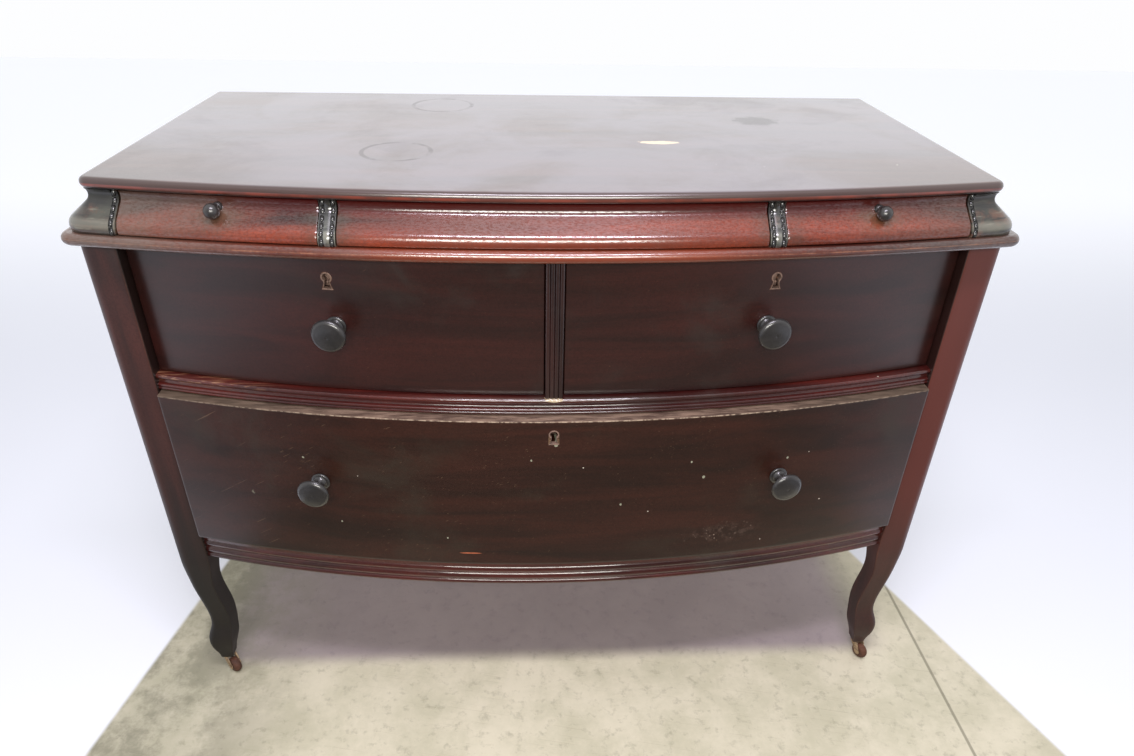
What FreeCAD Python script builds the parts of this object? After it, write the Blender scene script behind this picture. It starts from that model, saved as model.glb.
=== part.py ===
import FreeCAD, Part
import math
import os

# Bow front chest of drawers: an ogee frieze with three shallow drawers over a row of two drawers and one
# long drawer, on cabriole front legs with casters.
#
# Frame while building: X to the right, Z up from the floor, Y towards the back, with Y = 0 on the front
# faces of the front posts. Each node is moved once, when it is written, so that the origin ends up on the
# floor under the middle of the overall box.

V = FreeCAD.Vector
UP = V(0, 0, 1)

# ---------------------------------------------------------------- driving dimensions, mm

# overall
case_width = 1160.0            # over the front posts
case_depth = 486.0             # front face of the front posts to back face of the rear posts
case_lift = 276.0              # floor to the underside of the case
lower_drawer_height = 255.5    # height of the opening for the long drawer
upper_drawer_height = 193.0    # height of the openings for the upper drawers

# top board
top_thickness = 14.0
top_front = -51.0              # nose of the top at its middle
top_side_overhang = 6.5        # top board beyond the neck of the frieze at the sides
top_bow_radius = 2985.0
top_corner_radius = 15.0
top_back_overhang = 6.0

# ogee frieze
frieze_height = 47.5
frieze_set_back = 7.5          # neck of the frieze behind the nose of the top
frieze_bulge = 28.5            # how far the ogee swells out from its neck
frieze_hollow_radius = 10.0    # hollow at the neck
frieze_hollow_drop = 7.1       # deepest point of the hollow below the top board
frieze_swell_radius = 14.0
frieze_swell_rise = 5.7        # furthest point of the swelling above the waist
frieze_neck_corner = 3.0
frieze_front_wood = 14.0       # wood behind the neck of a frieze drawer front
corner_block_width = 67.5      # from the outside of the bulge
corner_block_depth = 45.0
frieze_side_opening = 240.5    # opening for a side drawer of the frieze
frieze_divider_width = 20.0
frieze_divider_depth = 62.0
frieze_drawer_set_back = 1.5
frieze_side_wood = 20.0

# carved beads on the corner blocks and frieze dividers
bead_radius = 2.25
bead_count = 6                 # beads in a row
bead_channel_width = 5.6
bead_channel_depth = 1.2
bead_sink = 0.2                # middle of a bead behind the floor of its channel
divider_bead_offset = 5.2      # rows from the middle of a divider
corner_bead_inset = 5.5        # row from the inner edge of a corner block

# waist
waist_thickness = 15.0
waist_nose = 7.0               # nose of the waist moulding beyond the frieze bulge
waist_overhang = 9.0           # nose of the waist moulding beyond the front posts
waist_corner_radius = 19.0
waist_rail_back = 36.0

# posts and legs
post_size = 46.0
post_round = 12.0
post_edge_round = 1.5
rear_foot_size = 30.0
foot_height = 36.0             # underside of the wooden feet
groove_depth = 8.0

# rails and drawer openings
case_bow_radius = 2016.0
rail_front = -67.0             # front of the rails at the middle
rail_back = 36.0
mid_rail_height = 23.0
bottom_rail_height = 53.0
reed_width = 4.6
tenon_length = 14.0
tenon_thickness = 12.0
tenon_shoulder = 5.0
divider_width = 23.0
divider_depth = 60.0
divider_set_back = 6.0         # front of the upright divider behind the rails

# drawers
upper_front_set_back = 12.0    # upper drawer fronts behind the rails
lower_front_proud = 13.0       # lower drawer front ahead of the rails
upper_front_wood = 20.0
lower_front_wood = 34.0
reveal = 1.5                   # gap round a drawer front
running_gap = 0.3              # under a drawer side
side_wood = 11.0
frieze_box_wood = 9.0
side_play = 1.0                # drawer side inside the end of its front
bottom_wood = 5.0
bottom_lift = 7.0              # drawer bottom above the lower edge of the sides
bottom_groove = 5.0
drawer_back_gap = 4.0          # behind the drawers
drawer_head_room = 6.0
upper_travel = 300.0
lower_travel = 300.0
frieze_travel = 260.0

# knobs, escutcheons and locks
knob_radius = 22.0
knob_projection = 36.0
knob_neck_radius = 6.5
knob_base_radius = 12.0
knob_spigot_radius = 5.0
knob_spigot_length = 13.0
ball_radius = 9.3
ball_reach = 18.0
ball_neck_radius = 4.6
ball_spigot_radius = 3.0
ball_foot_radius = 6.2
ball_collar_length = 6.2
ball_knob_height = 33.4        # above the waist
upper_knob_drop = 1.5          # below the middle of the drawer opening
lower_knob_raise = 14.5        # above the middle of the drawer opening
lower_knob_inset = 214.0       # from the post
escutcheon_width = 14.4
escutcheon_height = 23.0
upper_lock_offset = 4.4        # keyhole further from the middle of the case than the knob
escutcheon_wood_above = 38.0   # from the underside of the rail above to the middle of the escutcheon
lower_escutcheon_drop = 27.0
escutcheon_thickness = 6.0
escutcheon_proud = 0.5
escutcheon_rim = 1.7           # width of the rim
drill_pin_radius = 1.4         # pin in the lock that a hollow key turns on
drill_pin_reach = 8.0
lock_width = 44.0
lock_height = 52.0
lock_depth = 10.0
lock_plate = 1.6
bolt_width = 18.0
bolt_thickness = 5.0
bolt_height = 30.0
bolt_throw = 8.0
bolt_clearance = 0.3

# casters
wheel_radius = 14.0
wheel_width = 12.0
wheel_crown = 3.0              # the tread is rounded by this much at its edges
wheel_gap = 0.8
yoke_plate = 2.2
yoke_trail = 12.0
yoke_head_radius = 8.5
yoke_head_thickness = 2.6
axle_radius = 2.0
stem_radius = 3.9
stem_length = 30.0
bearing_clearance = 0.1
socket_wall = 1.3
socket_flange_radius = 9.0
socket_flange = 1.6
caster_gap = 0.4

# thin boards
panel_wood = 6.0
side_rail_wood = 20.0
side_rail_inset = 5.0          # face of the side rails behind the face of the posts
upper_side_rail_height = 40.0
lower_side_rail_height = 53.0
runner_ledge = 34.0            # how far the side runners reach in from the posts
centre_runner_half = 36.0
frieze_runner_half = 20.0
dust_panel_wood = 5.0
back_rail_wood = 20.0
back_panel_inset = 12.0        # back panel from the back face of the rear posts
guide_height = 22.0
cleat_height = 18.0
fit_gap = 0.2                  # panels and spigots in their grooves and holes

# ---------------------------------------------------------------- levels and planes that follow

half_case = case_width / 2
post_inner = half_case - post_size
bottom_rail_bottom = case_lift
bottom_rail_top = bottom_rail_bottom + bottom_rail_height
mid_rail_bottom = bottom_rail_top + lower_drawer_height
mid_rail_top = mid_rail_bottom + mid_rail_height
waist_under = mid_rail_top + upper_drawer_height
waist_top = waist_under + waist_thickness
top_under = waist_top + frieze_height
overall_height = top_under + top_thickness
bow_middle_y = top_front + top_bow_radius
case_bow_middle_y = rail_front + case_bow_radius
neck_front = top_front + frieze_set_back
neck_radius = top_bow_radius - frieze_set_back
bulge_front = neck_front - frieze_bulge
waist_front = bulge_front - waist_nose
half_waist = half_case + waist_overhang
half_bulge = half_waist - waist_nose
half_neck = half_bulge - frieze_bulge
half_top = half_neck + top_side_overhang
block_inner = half_bulge - corner_block_width
frieze_divider_middle = block_inner - frieze_side_opening - frieze_divider_width / 2
case_back = case_depth
rear_post_front = case_back - post_size
drawer_back_y = rear_post_front - drawer_back_gap
runner_inner = post_inner - runner_ledge
far = 2 * case_depth           # reach of a cut that goes right through
runner_outer = half_case - side_rail_inset - side_rail_wood


# ---------------------------------------------------------------- shape helpers

def block(x0, x1, y0, y1, z0, z1):
    return Part.makeBox(x1 - x0, y1 - y0, z1 - z0, V(x0, y0, z0))


def fuse(pieces):
    result = pieces[0].fuse(pieces[1:])
    return result.removeSplitter()


def mirrored(shape):
    return shape.mirror(V(0, 0, 0), V(1, 0, 0))


def bow_y(radius, middle_y, x):
    """Y of a bow of this radius, struck from the middle line, at x."""
    return middle_y - math.sqrt(radius * radius - x * x)


def wire_through(points):
    """Closed wire; a point given as a pair (via, end) makes an arc through via."""
    edges = []
    last = points[0]
    for item in points[1:]:
        if isinstance(item, tuple):
            via, end = item
            edges.append(Part.Arc(last, via, end).toShape())
            last = end
        else:
            edges.append(Part.LineSegment(last, item).toShape())
            last = item
    if last.distanceToPoint(points[0]) > 1e-6:
        edges.append(Part.LineSegment(last, points[0]).toShape())
    return Part.Wire(edges)


def corner_centre(half_width, corner_radius, bow_radius, middle_y):
    """Centre of the rounding between a straight side and the bow."""
    run = half_width - corner_radius
    return V(run, middle_y - math.sqrt((bow_radius - corner_radius) ** 2 - run * run), 0)


def bowed_outline(half_width, corner_radius, bow_radius, middle_y, back):
    """Plan of a board with a bow front, rounded front corners, straight sides and a straight back."""
    centre = corner_centre(half_width, corner_radius, bow_radius, middle_y)
    outward = V(centre.x, centre.y - middle_y, 0).normalize()
    on_bow = centre + outward * corner_radius
    bisector = (outward + V(1, 0, 0)).normalize()
    on_corner = centre + bisector * corner_radius
    on_side = V(half_width, centre.y, 0)

    def flip(point):
        return V(-point.x, point.y, 0)

    front = V(0, middle_y - bow_radius, 0)
    return wire_through([V(half_width, back, 0), V(-half_width, back, 0), flip(on_side),
                         (flip(on_corner), flip(on_bow)), (front, on_bow), (on_corner, on_side)])


def moulded_board(half_width, corner_radius, bow_radius, middle_y, back, z0, z1, nose):
    """Bowed board with a moulding round its front and sides.

    nose(origin, outward) returns the section of the moulding as a face: it stands on the outline at origin
    and reaches along outward.
    """
    outline = bowed_outline(half_width, corner_radius, bow_radius, middle_y, back)
    core = Part.Face(outline).extrude(V(0, 0, z1 - z0))
    core.translate(V(0, 0, z0))
    centre = corner_centre(half_width, corner_radius, bow_radius, middle_y)
    sweep = math.degrees(math.asin(centre.x / (bow_radius - corner_radius)))
    front = nose(V(0, middle_y - bow_radius, 0), V(0, -1, 0))
    front.rotate(V(0, middle_y, 0), UP, -sweep)
    front_run = front.revolve(V(0, middle_y, 0), UP, 2 * sweep)
    side = nose(V(half_width, centre.y, 0), V(1, 0, 0))
    side_run = side.extrude(V(0, back - centre.y, 0))
    corner_run = side.revolve(V(centre.x, centre.y, 0), UP, -(90 - sweep))
    return fuse([core, front_run, side_run, corner_run, mirrored(side_run), mirrored(corner_run)])


def bowed_bar(section, x0, x1, middle_y):
    """Section, a face in the plane X = 0, swept round the bow and cut square at x0 and x1."""
    reach = max(abs(x0), abs(x1)) + 60.0
    angle = math.degrees(math.asin(reach / case_bow_radius)) + 1.0
    start = section.copy()
    start.rotate(V(0, middle_y, 0), UP, -angle)
    swept = start.revolve(V(0, middle_y, 0), UP, 2 * angle)
    box = section.BoundBox
    return swept.common(block(x0, x1, box.YMin - 5, box.YMax + far, box.ZMin - 5, box.ZMax + 5))


def profile_face(points):
    """Face in the plane X = 0 from (y, z) pairs; a nested pair of pairs is an arc through the first."""
    placed = []
    for item in points:
        if isinstance(item[0], tuple):
            placed.append((V(0, item[0][0], item[0][1]), V(0, item[1][0], item[1][1])))
        else:
            placed.append(V(0, item[0], item[1]))
    return Part.Face(wire_through(placed))


def on_bow(shape, x, radius, middle_y):
    """Move a shape made at the origin, facing -Y, onto the bow at x, square to the surface."""
    angle = math.degrees(math.asin(x / radius))
    moved = shape.copy()
    moved.rotate(V(0, 0, 0), UP, angle)
    moved.translate(V(x, bow_y(radius, middle_y, x), 0))
    return moved


def cylinder_y(radius, y0, y1, x, z):
    """Round bar along Y."""
    return Part.makeCylinder(radius, y1 - y0, V(x, y0, z), V(0, 1, 0))


def turned(points, along):
    """Solid turned round an axis through the origin: points are (radius, distance) pairs along the axis."""
    placed = []
    for item in points:
        if isinstance(item[0], tuple):
            placed.append((V(item[0][0], 0, item[0][1]), V(item[1][0], 0, item[1][1])))
        else:
            placed.append(V(item[0], 0, item[1]))
    solid = Part.Face(wire_through(placed)).revolve(V(0, 0, 0), UP, 360)
    if along.z < 0.99:
        solid.rotate(V(0, 0, 0), UP.cross(along), math.degrees(UP.getAngle(along)))
    return solid


# ---------------------------------------------------------------- top board

def round_nose(radius, z_middle):
    def nose(origin, outward):
        low = origin + V(0, 0, z_middle - radius) - outward * 0.6
        high = origin + V(0, 0, z_middle + radius) - outward * 0.6
        low_edge = origin + V(0, 0, z_middle - radius)
        high_edge = origin + V(0, 0, z_middle + radius)
        tip = origin + V(0, 0, z_middle) + outward * radius
        return Part.Face(wire_through([low, low_edge, (tip, high_edge), high]))
    return nose


def make_top_board():
    nose = top_thickness / 2
    return moulded_board(half_top - nose, top_corner_radius - nose, top_bow_radius - nose, bow_middle_y,
                         case_back + top_back_overhang, top_under, overall_height,
                         round_nose(nose, top_under + nose))


# ---------------------------------------------------------------- ogee frieze

def ogee_edges(at):
    """Hollow at the neck, a slope, then the swelling above the waist; at(reach, height) places a point."""
    hollow = (frieze_hollow_radius, frieze_height - frieze_hollow_drop)
    swell = (frieze_bulge - frieze_swell_radius, frieze_swell_rise)
    apart = math.hypot(swell[0] - hollow[0], hollow[1] - swell[1])
    slope = math.atan2(hollow[1] - swell[1], swell[0] - hollow[0]) \
        - math.asin((frieze_hollow_radius + frieze_swell_radius) / apart)

    def on_hollow(angle):
        return at(hollow[0] - frieze_hollow_radius * math.cos(angle),
                  hollow[1] - frieze_hollow_radius * math.sin(angle))

    def on_swell(angle):
        return at(swell[0] + frieze_swell_radius * math.cos(angle),
                  swell[1] + frieze_swell_radius * math.sin(angle))

    lean = math.pi / 2 - slope
    head = -math.asin(frieze_hollow_drop / frieze_hollow_radius)
    foot = -math.asin(frieze_swell_rise / frieze_swell_radius)
    return [Part.Arc(on_hollow(head), on_hollow(0.0), on_hollow(lean)).toShape(),
            Part.LineSegment(on_hollow(lean), on_swell(lean)).toShape(),
            Part.Arc(on_swell(lean), on_swell(0.0), on_swell(foot)).toShape()]


def ogee_nose(origin, outward):
    def at(reach, height):
        return origin + outward * reach + V(0, 0, waist_top + height)

    edges = ogee_edges(at)
    head = edges[0].Vertexes[0].Point
    foot = edges[-1].Vertexes[-1].Point
    inner = [at(-0.5, 0.0), at(-0.5, frieze_height)]
    edges.append(Part.LineSegment(foot, inner[0]).toShape())
    edges.append(Part.LineSegment(inner[0], inner[1]).toShape())
    edges.append(Part.LineSegment(inner[1], head).toShape())
    return Part.Face(Part.Wire(edges))


def make_frieze_body():
    """The whole ogee band, from which blocks, dividers, side boards and drawer fronts are cut."""
    return moulded_board(half_neck, frieze_neck_corner, neck_radius, bow_middle_y, case_back,
                         waist_top, top_under, ogee_nose)


def cut_frieze(body, x0, x1, y1):
    return body.common(block(x0, x1, waist_front - 20, y1, waist_top, top_under))


def beaded(piece, frieze, row_x):
    """Sink a channel down the ogee at row_x and leave a row of beads standing in it."""
    half = bead_channel_width / 2
    floor = frieze.copy()
    floor.translate(V(0, bead_channel_depth, 0))
    skin = cut_frieze(frieze, row_x - half, row_x + half, corner_block_depth).cut(floor)

    def at(reach, height):
        y = bow_y(neck_radius + reach, bow_middle_y, row_x) + bead_channel_depth + bead_sink
        return V(row_x, y, waist_top + height)

    carved = piece.cut(skin)
    for middle in Part.Wire(ogee_edges(at)).discretize(Number=2 * bead_count + 1)[1::2]:
        carved = carved.fuse(Part.makeSphere(bead_radius, middle, V(0, -1, 0)))
    return carved


# ---------------------------------------------------------------- waist frame

def make_waist_frame():
    nose = waist_thickness / 2
    slab = moulded_board(half_waist - nose, waist_corner_radius - nose,
                         bow_middle_y - waist_front - nose, bow_middle_y, case_back,
                         waist_under, waist_top, round_nose(nose, waist_under + nose))
    outside = waist_front - 20
    rail = slab.common(block(-half_waist, half_waist, outside, waist_rail_back, waist_under, waist_top))
    side = slab.common(block(post_inner, half_waist, waist_rail_back, case_back, waist_under, waist_top))
    return rail, side


# ---------------------------------------------------------------- posts with cabriole legs

def post_section(sweep, width, z):
    """Square section with a soft outer corner; sweep moves it in along the diagonal."""
    x1 = half_case - sweep
    x0 = x1 - width
    y0 = sweep
    y1 = y0 + width
    small = post_edge_round
    big = post_round * width / post_size
    turn = 1 - math.sqrt(0.5)
    return wire_through([
        V(x0 + small, y0, z), V(x1 - big, y0, z),
        (V(x1 - big * turn, y0 + big * turn, z), V(x1, y0 + big, z)),
        V(x1, y1 - small, z),
        (V(x1 - small * turn, y1 - small * turn, z), V(x1 - small, y1, z)),
        V(x0 + small, y1, z),
        (V(x0 + small * turn, y1 - small * turn, z), V(x0, y1 - small, z)),
        V(x0, y0 + small, z),
        (V(x0 + small * turn, y0 + small * turn, z), V(x0 + small, y0, z))])


# cabriole: height above the pad as a share of the leg, inward sweep, width
leg_stations = [(1.00, 0.0, post_size), (0.96, 0.0, post_size), (0.84, 2.0, 40.5), (0.72, 4.5, 35.5),
                (0.54, 9.5, 34.0), (0.41, 12.4, 33.5), (0.31, 11.0, 34.5), (0.22, 4.5, 39.5),
                (0.155, 4.0, 38.5), (0.09, 7.0, 31.5), (0.03, 11.0, 24.0), (0.0, 12.0, 22.0)]


def make_front_post():
    leg_top = case_lift
    leg_height = leg_top - foot_height
    sections = [post_section(sweep, width, foot_height + share * leg_height)
                for share, sweep, width in leg_stations]
    leg = Part.makeLoft(sections, True, False)
    post = Part.Face(post_section(0.0, post_size, leg_top)).extrude(V(0, 0, waist_under - leg_top))
    return fuse([post, leg])


def front_foot():
    """Middle of the pad of the right front leg."""
    share, sweep, width = leg_stations[-1]
    return V(half_case - sweep - width / 2, sweep + width / 2, foot_height)


def rear_foot():
    return V(half_case - post_size / 2, case_back - post_size / 2, foot_height)


def make_rear_post():
    """Straight rear post, tapered to the foot below the case."""
    middle = rear_foot()
    half = post_size / 2
    foot = rear_foot_size / 2

    def square(size, z):
        corners = [(-size, -size), (size, -size), (size, size), (-size, size), (-size, -size)]
        return Part.makePolygon([V(middle.x + x, middle.y + y, z) for x, y in corners])

    taper_top = bottom_rail_bottom
    leg = Part.makeLoft([square(foot, foot_height), square(half, taper_top)], True, True)
    post = block(middle.x - half, middle.x + half, middle.y - half, middle.y + half, taper_top, waist_under)
    post = post.makeChamfer(2.0, [e for e in post.Edges if abs(e.tangentAt(e.FirstParameter).z) > 0.9])
    return fuse([post, leg])


# ---------------------------------------------------------------- rails

def rail_section(bottom, top, heights):
    """Moulded rail front: two reeds below, a hollow, and above it what heights names.

    heights is (first reed, second reed, hollow); the rest up to top is a flat or one more reed.
    """
    first, second, hollow = heights
    y = rail_front
    z1 = bottom + first
    z2 = z1 + second
    z3 = z2 + hollow
    points = [(y + first * 0.4, bottom), ((y - 0.2, bottom + first / 2), (y + first * 0.3, z1)),
              ((y - 0.2, z1 + second / 2), (y + second * 0.3, z2)),
              ((y + 5.5, (z2 + z3) / 2), (y + 1.5, z3))]
    if top - z3 < 2.0 * reed_width:
        points.append(((y - 0.2, (z3 + top) / 2), (y + 1.5, top)))
    else:
        points += [(y + 1.5, top - 2.5), ((y, top - 1.2), (y + 2.0, top))]
    depth = rail_back - rail_front + 10.0
    points += [(y + depth, top), (y + depth, bottom)]
    return profile_face(points)


def tenoned(rail, bottom, top):
    """Rail cut straight at the back, with a stub tenon at each end."""
    rail = rail.common(block(-post_inner, post_inner, rail_front - 5, rail_back, bottom - 1, top + 1))
    reach = post_inner + tenon_length
    y0 = (post_size - tenon_thickness) / 2
    tenon = block(post_inner - 1, reach, y0, y0 + tenon_thickness,
                  bottom + tenon_shoulder, top - tenon_shoulder)
    return fuse([rail, tenon, mirrored(tenon)])


def tenon_mortise(bottom, top):
    y0 = (post_size - tenon_thickness) / 2
    return block(post_inner - 1, post_inner + tenon_length + fit_gap,
                 y0 - fit_gap, y0 + tenon_thickness + fit_gap,
                 bottom + tenon_shoulder - fit_gap, top - tenon_shoulder + fit_gap)


def make_mid_rail():
    section = rail_section(mid_rail_bottom, mid_rail_top, (reed_width, reed_width, 8.0))
    bar = bowed_bar(section, -post_inner, post_inner, case_bow_middle_y)
    return tenoned(bar, mid_rail_bottom, mid_rail_top)


def make_bottom_rail():
    section = rail_section(bottom_rail_bottom, bottom_rail_top, (reed_width + 1.4, reed_width + 3.4, 9.0))
    bar = bowed_bar(section, -post_inner, post_inner, case_bow_middle_y)
    return tenoned(bar, bottom_rail_bottom, bottom_rail_top)


def divider_tenon(z0, z1):
    front = rail_front + divider_set_back
    return block(-divider_width / 2 + 5, divider_width / 2 - 5, front + 20, front + 45, z0, z1)


def make_upper_divider():
    """Upright between the upper drawers: four reeds on its face, a stub tenon at each end."""
    front = rail_front + divider_set_back
    half = divider_width / 2
    reed = divider_width / 4
    outline = [V(half, front + divider_depth, 0), V(-half, front + divider_depth, 0), V(-half, front, 0)]
    for index in range(4):
        start = -half + index * reed
        outline.append((V(start + reed / 2, front - reed * 0.42, 0), V(start + reed, front, 0)))
    body = Part.Face(wire_through(outline)).extrude(V(0, 0, waist_under - mid_rail_top))
    body.translate(V(0, 0, mid_rail_top))
    return fuse([body, divider_tenon(mid_rail_top - groove_depth, mid_rail_top + 1),
                 divider_tenon(waist_under - 1, waist_under + groove_depth)])


def divider_mortise():
    front = rail_front + divider_set_back
    return block(-divider_width / 2 + 5 - fit_gap, divider_width / 2 - 5 + fit_gap,
                 front + 20 - fit_gap, front + 45 + fit_gap,
                 mid_rail_top - groove_depth - fit_gap, waist_under + groove_depth + fit_gap)


# ---------------------------------------------------------------- knobs, escutcheons and locks

def make_mushroom_knob():
    """Turned knob, made at the origin with its seat at Y = 0: spigot, ringed base, neck and dished cap."""
    r = knob_radius
    p = knob_projection
    points = [(0.0, -knob_spigot_length), (knob_spigot_radius, -knob_spigot_length),
              (knob_spigot_radius, 0.0), (knob_base_radius, 0.0),
              ((knob_base_radius + 1.2, 2.0), (knob_base_radius, 4.0)),
              (knob_base_radius - 2.5, 4.6),
              ((knob_neck_radius, 0.36 * p), (knob_neck_radius + 2.0, 0.52 * p)),
              (knob_neck_radius + 5.0, 0.56 * p), (knob_neck_radius + 5.0, 0.62 * p),
              ((r * 0.86, 0.70 * p), (r, 0.80 * p)), ((r * 0.93, 0.95 * p), (r * 0.62, p)),
              ((r * 0.3, p - 1.0), (3.0, p - 0.6)), (2.0, p - 2.2), (0.0, p - 2.2)]
    return turned(points, V(0, -1, 0))


def make_ball_knob():
    """Small ball knob on a rounded collar, seat at Y = 0."""
    r = ball_radius
    collar = ball_foot_radius
    length = ball_collar_length
    neck_end = ball_reach - r * 0.8
    points = [(0.0, -knob_spigot_length), (ball_spigot_radius, -knob_spigot_length),
              (ball_spigot_radius, 0.0), (collar, 0.0), (collar, length * 0.48),
              ((collar * 0.96, length * 0.84), (collar * 0.82, length)),
              ((ball_neck_radius, (length + neck_end) / 2), (r * 0.6, neck_end)),
              ((r, ball_reach), (0.0, ball_reach + r))]
    return turned(points, V(0, -1, 0))


def keyhole_outline(grow):
    """Outline of the escutcheon, grown or shrunk: a round head over a flared foot, in the plane Y = 0."""
    head = escutcheon_width * 0.48 + grow
    foot = escutcheon_width / 2 + grow
    top = escutcheon_height / 2 - escutcheon_width * 0.48
    bottom = -escutcheon_height / 2 - grow
    neck_x = head * 0.6
    neck_z = top - head * 0.8
    mid_z = (neck_z + bottom) / 2
    return wire_through([V(neck_x, 0, neck_z), (V(0, 0, top + head), V(-neck_x, 0, neck_z)),
                         (V(-neck_x - 0.6, 0, mid_z), V(-foot, 0, bottom)), V(foot, 0, bottom),
                         (V(neck_x + 0.6, 0, mid_z), V(neck_x, 0, neck_z))])


def keyhole_block(grow, y0, y1):
    body = Part.Face(keyhole_outline(grow)).extrude(V(0, y1 - y0, 0))
    body.translate(V(0, y0, 0))
    return body


def make_escutcheon():
    """Thread escutcheon: a rim that lines the keyhole, a little proud of the wood."""
    rim = keyhole_block(0.0, -escutcheon_proud, escutcheon_thickness - escutcheon_proud)
    return rim.cut(keyhole_block(-escutcheon_rim, -escutcheon_proud - 1, escutcheon_thickness + 1))


def lock_parts(front_wood, top_drop):
    """Lock case, bolt and the hole for both, at the origin of a front whose face is Y = 0.

    top_drop is how far the top edge of the front is above the origin.
    """
    inner = front_wood
    y0 = inner - lock_depth
    top = top_drop - lock_plate
    case = block(-lock_width / 2, lock_width / 2, y0, inner, top - lock_height, top)
    plate = block(-lock_width / 2 - 4, lock_width / 2 + 4, inner - lock_plate, inner,
                  top - lock_height - 4, top_drop)
    bolt_y0 = y0 + (lock_depth - bolt_thickness) / 2
    bolt = block(-bolt_width / 2, bolt_width / 2, bolt_y0, bolt_y0 + bolt_thickness,
                 top_drop - bolt_height, top_drop)
    c = bolt_clearance
    way = block(-bolt_width / 2 - c, bolt_width / 2 + c, bolt_y0 - c, bolt_y0 + bolt_thickness + c,
                top_drop - bolt_height - c, top_drop + 1)
    pin = cylinder_y(drill_pin_radius, y0 - min(drill_pin_reach, y0 - 2.0), y0 + 1, 0, -2.0)
    body = fuse([case, plate, pin])
    pocket = block(-lock_width / 2 - fit_gap, lock_width / 2 + fit_gap, y0 - fit_gap, inner + 1,
                   top - lock_height - fit_gap, top + fit_gap)
    ledge = block(-lock_width / 2 - 4 - fit_gap, lock_width / 2 + 4 + fit_gap, inner - lock_plate - fit_gap,
                  inner + 1, top - lock_height - 4 - fit_gap, top_drop + 1)
    recess = fuse([pocket, ledge, way])
    mortise = block(-bolt_width / 2 - 1, bolt_width / 2 + 1, bolt_y0 - 1, bolt_y0 + bolt_thickness + 1,
                    top_drop - 1, top_drop + reveal + bolt_throw + 0.5)
    return body.cut(way), bolt, recess, mortise


# ---------------------------------------------------------------- drawers

def front_section(face, wood, z0, z1):
    """Plain bowed front with softened edges."""
    soft = 1.0
    k = soft * (1 - math.sqrt(0.5))
    return profile_face([(face + soft, z0), ((face + k, z0 + k), (face, z0 + soft)), (face, z1 - soft),
                         ((face + k, z1 - k), (face + soft, z1)), (face + wood, z1), (face + wood, z0)])


def drawer_box(x0, x1, inner_radius, middle_y, z0, z1, wood, back_y):
    """Sides, back and bottom behind a curved front: returns the solids and the groove for the bottom."""
    inside = Part.makeCylinder(inner_radius, z1 - z0 + 20, V(0, middle_y, z0 - 10))
    left = block(x0, x0 + wood, middle_y - inner_radius - 5, back_y, z0, z1).common(inside)
    right = block(x1 - wood, x1, middle_y - inner_radius - 5, back_y, z0, z1).common(inside)
    floor = z0 + bottom_lift
    back = block(x0 + wood, x1 - wood, back_y - wood - 4, back_y - 4, floor + bottom_wood, z1 - 4)
    deep = Part.makeCylinder(inner_radius + bottom_groove - fit_gap, bottom_wood, V(0, middle_y, floor))
    bottom = block(x0 + wood - bottom_groove + fit_gap, x1 - wood + bottom_groove - fit_gap,
                   middle_y - inner_radius - 40, back_y - 4, floor, floor + bottom_wood).common(deep)
    groove_round = Part.makeCylinder(inner_radius + bottom_groove, bottom_wood + 2 * fit_gap,
                                     V(0, middle_y, floor - fit_gap))
    groove = block(x0 + wood - bottom_groove, x1 - wood + bottom_groove, middle_y - inner_radius - 40,
                   back_y + 1, floor - fit_gap, floor + bottom_wood + fit_gap).common(groove_round)
    return [left.cut(groove), right.cut(groove), back, bottom], groove


nodes = {}


def add(name, *shapes):
    nodes[name] = list(shapes)


def fit_drawer(name, front, x0, x1, inner_radius, middle_y, z0, z1, wood, fittings):
    """Box behind a front, and the front cut for its groove and its fittings."""
    solids, groove = drawer_box(x0 + side_play, x1 - side_play, inner_radius, middle_y, z0, z1, wood,
                                drawer_back_y)
    front = front.cut(groove)
    for cutter in fittings:
        front = front.cut(cutter)
    add(name + "_front", front)
    add(name + "_box", *solids)


def knob_hole(radius, x, z, face_radius, middle_y):
    hole = cylinder_y(radius + fit_gap, -1, knob_spigot_length + 1, 0, 0)
    return lifted(on_bow(hole, x, face_radius, middle_y), z)


def lifted(shape, z):
    moved = shape.copy()
    moved.translate(V(0, 0, z))
    return moved


def add_case_drawer(name, x0, x1, z0, z1, rail_top, face_radius, wood, lock_x, lock_z,
                    knob_name, knobs, knob_z):
    """Plain drawer of the case with lock, escutcheon and mushroom knobs; returns the bolt mortise."""
    middle_y = case_bow_middle_y
    front = bowed_bar(front_section(middle_y - face_radius, wood, z0, z1), x0, x1, middle_y)
    case, bolt, recess, mortise = lock_parts(wood, z1 - lock_z)
    seat = keyhole_block(0.05, -2.0, escutcheon_thickness - escutcheon_proud + 0.05)
    hole = keyhole_block(-escutcheon_rim, 0.0, wood - lock_depth + 1)

    def placed(shape):
        return lifted(on_bow(shape, lock_x, face_radius, middle_y), lock_z)

    fittings = [placed(recess), placed(seat), placed(hole)]
    for x in knobs:
        fittings.append(knob_hole(knob_spigot_radius, x, knob_z, face_radius, middle_y))
    fit_drawer(name, front, x0, x1, face_radius - wood, middle_y, rail_top + running_gap,
               z1 - drawer_head_room, side_wood, fittings)
    add(name.replace("_drawer", "") + "_lock", placed(case))
    add(name.replace("_drawer", "") + "_bolt", placed(bolt))
    add(name.replace("_drawer", "") + "_escutcheon", placed(make_escutcheon()))
    add(knob_name, *[lifted(on_bow(make_mushroom_knob(), x, face_radius, middle_y), knob_z) for x in knobs])
    return placed(mortise)


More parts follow.
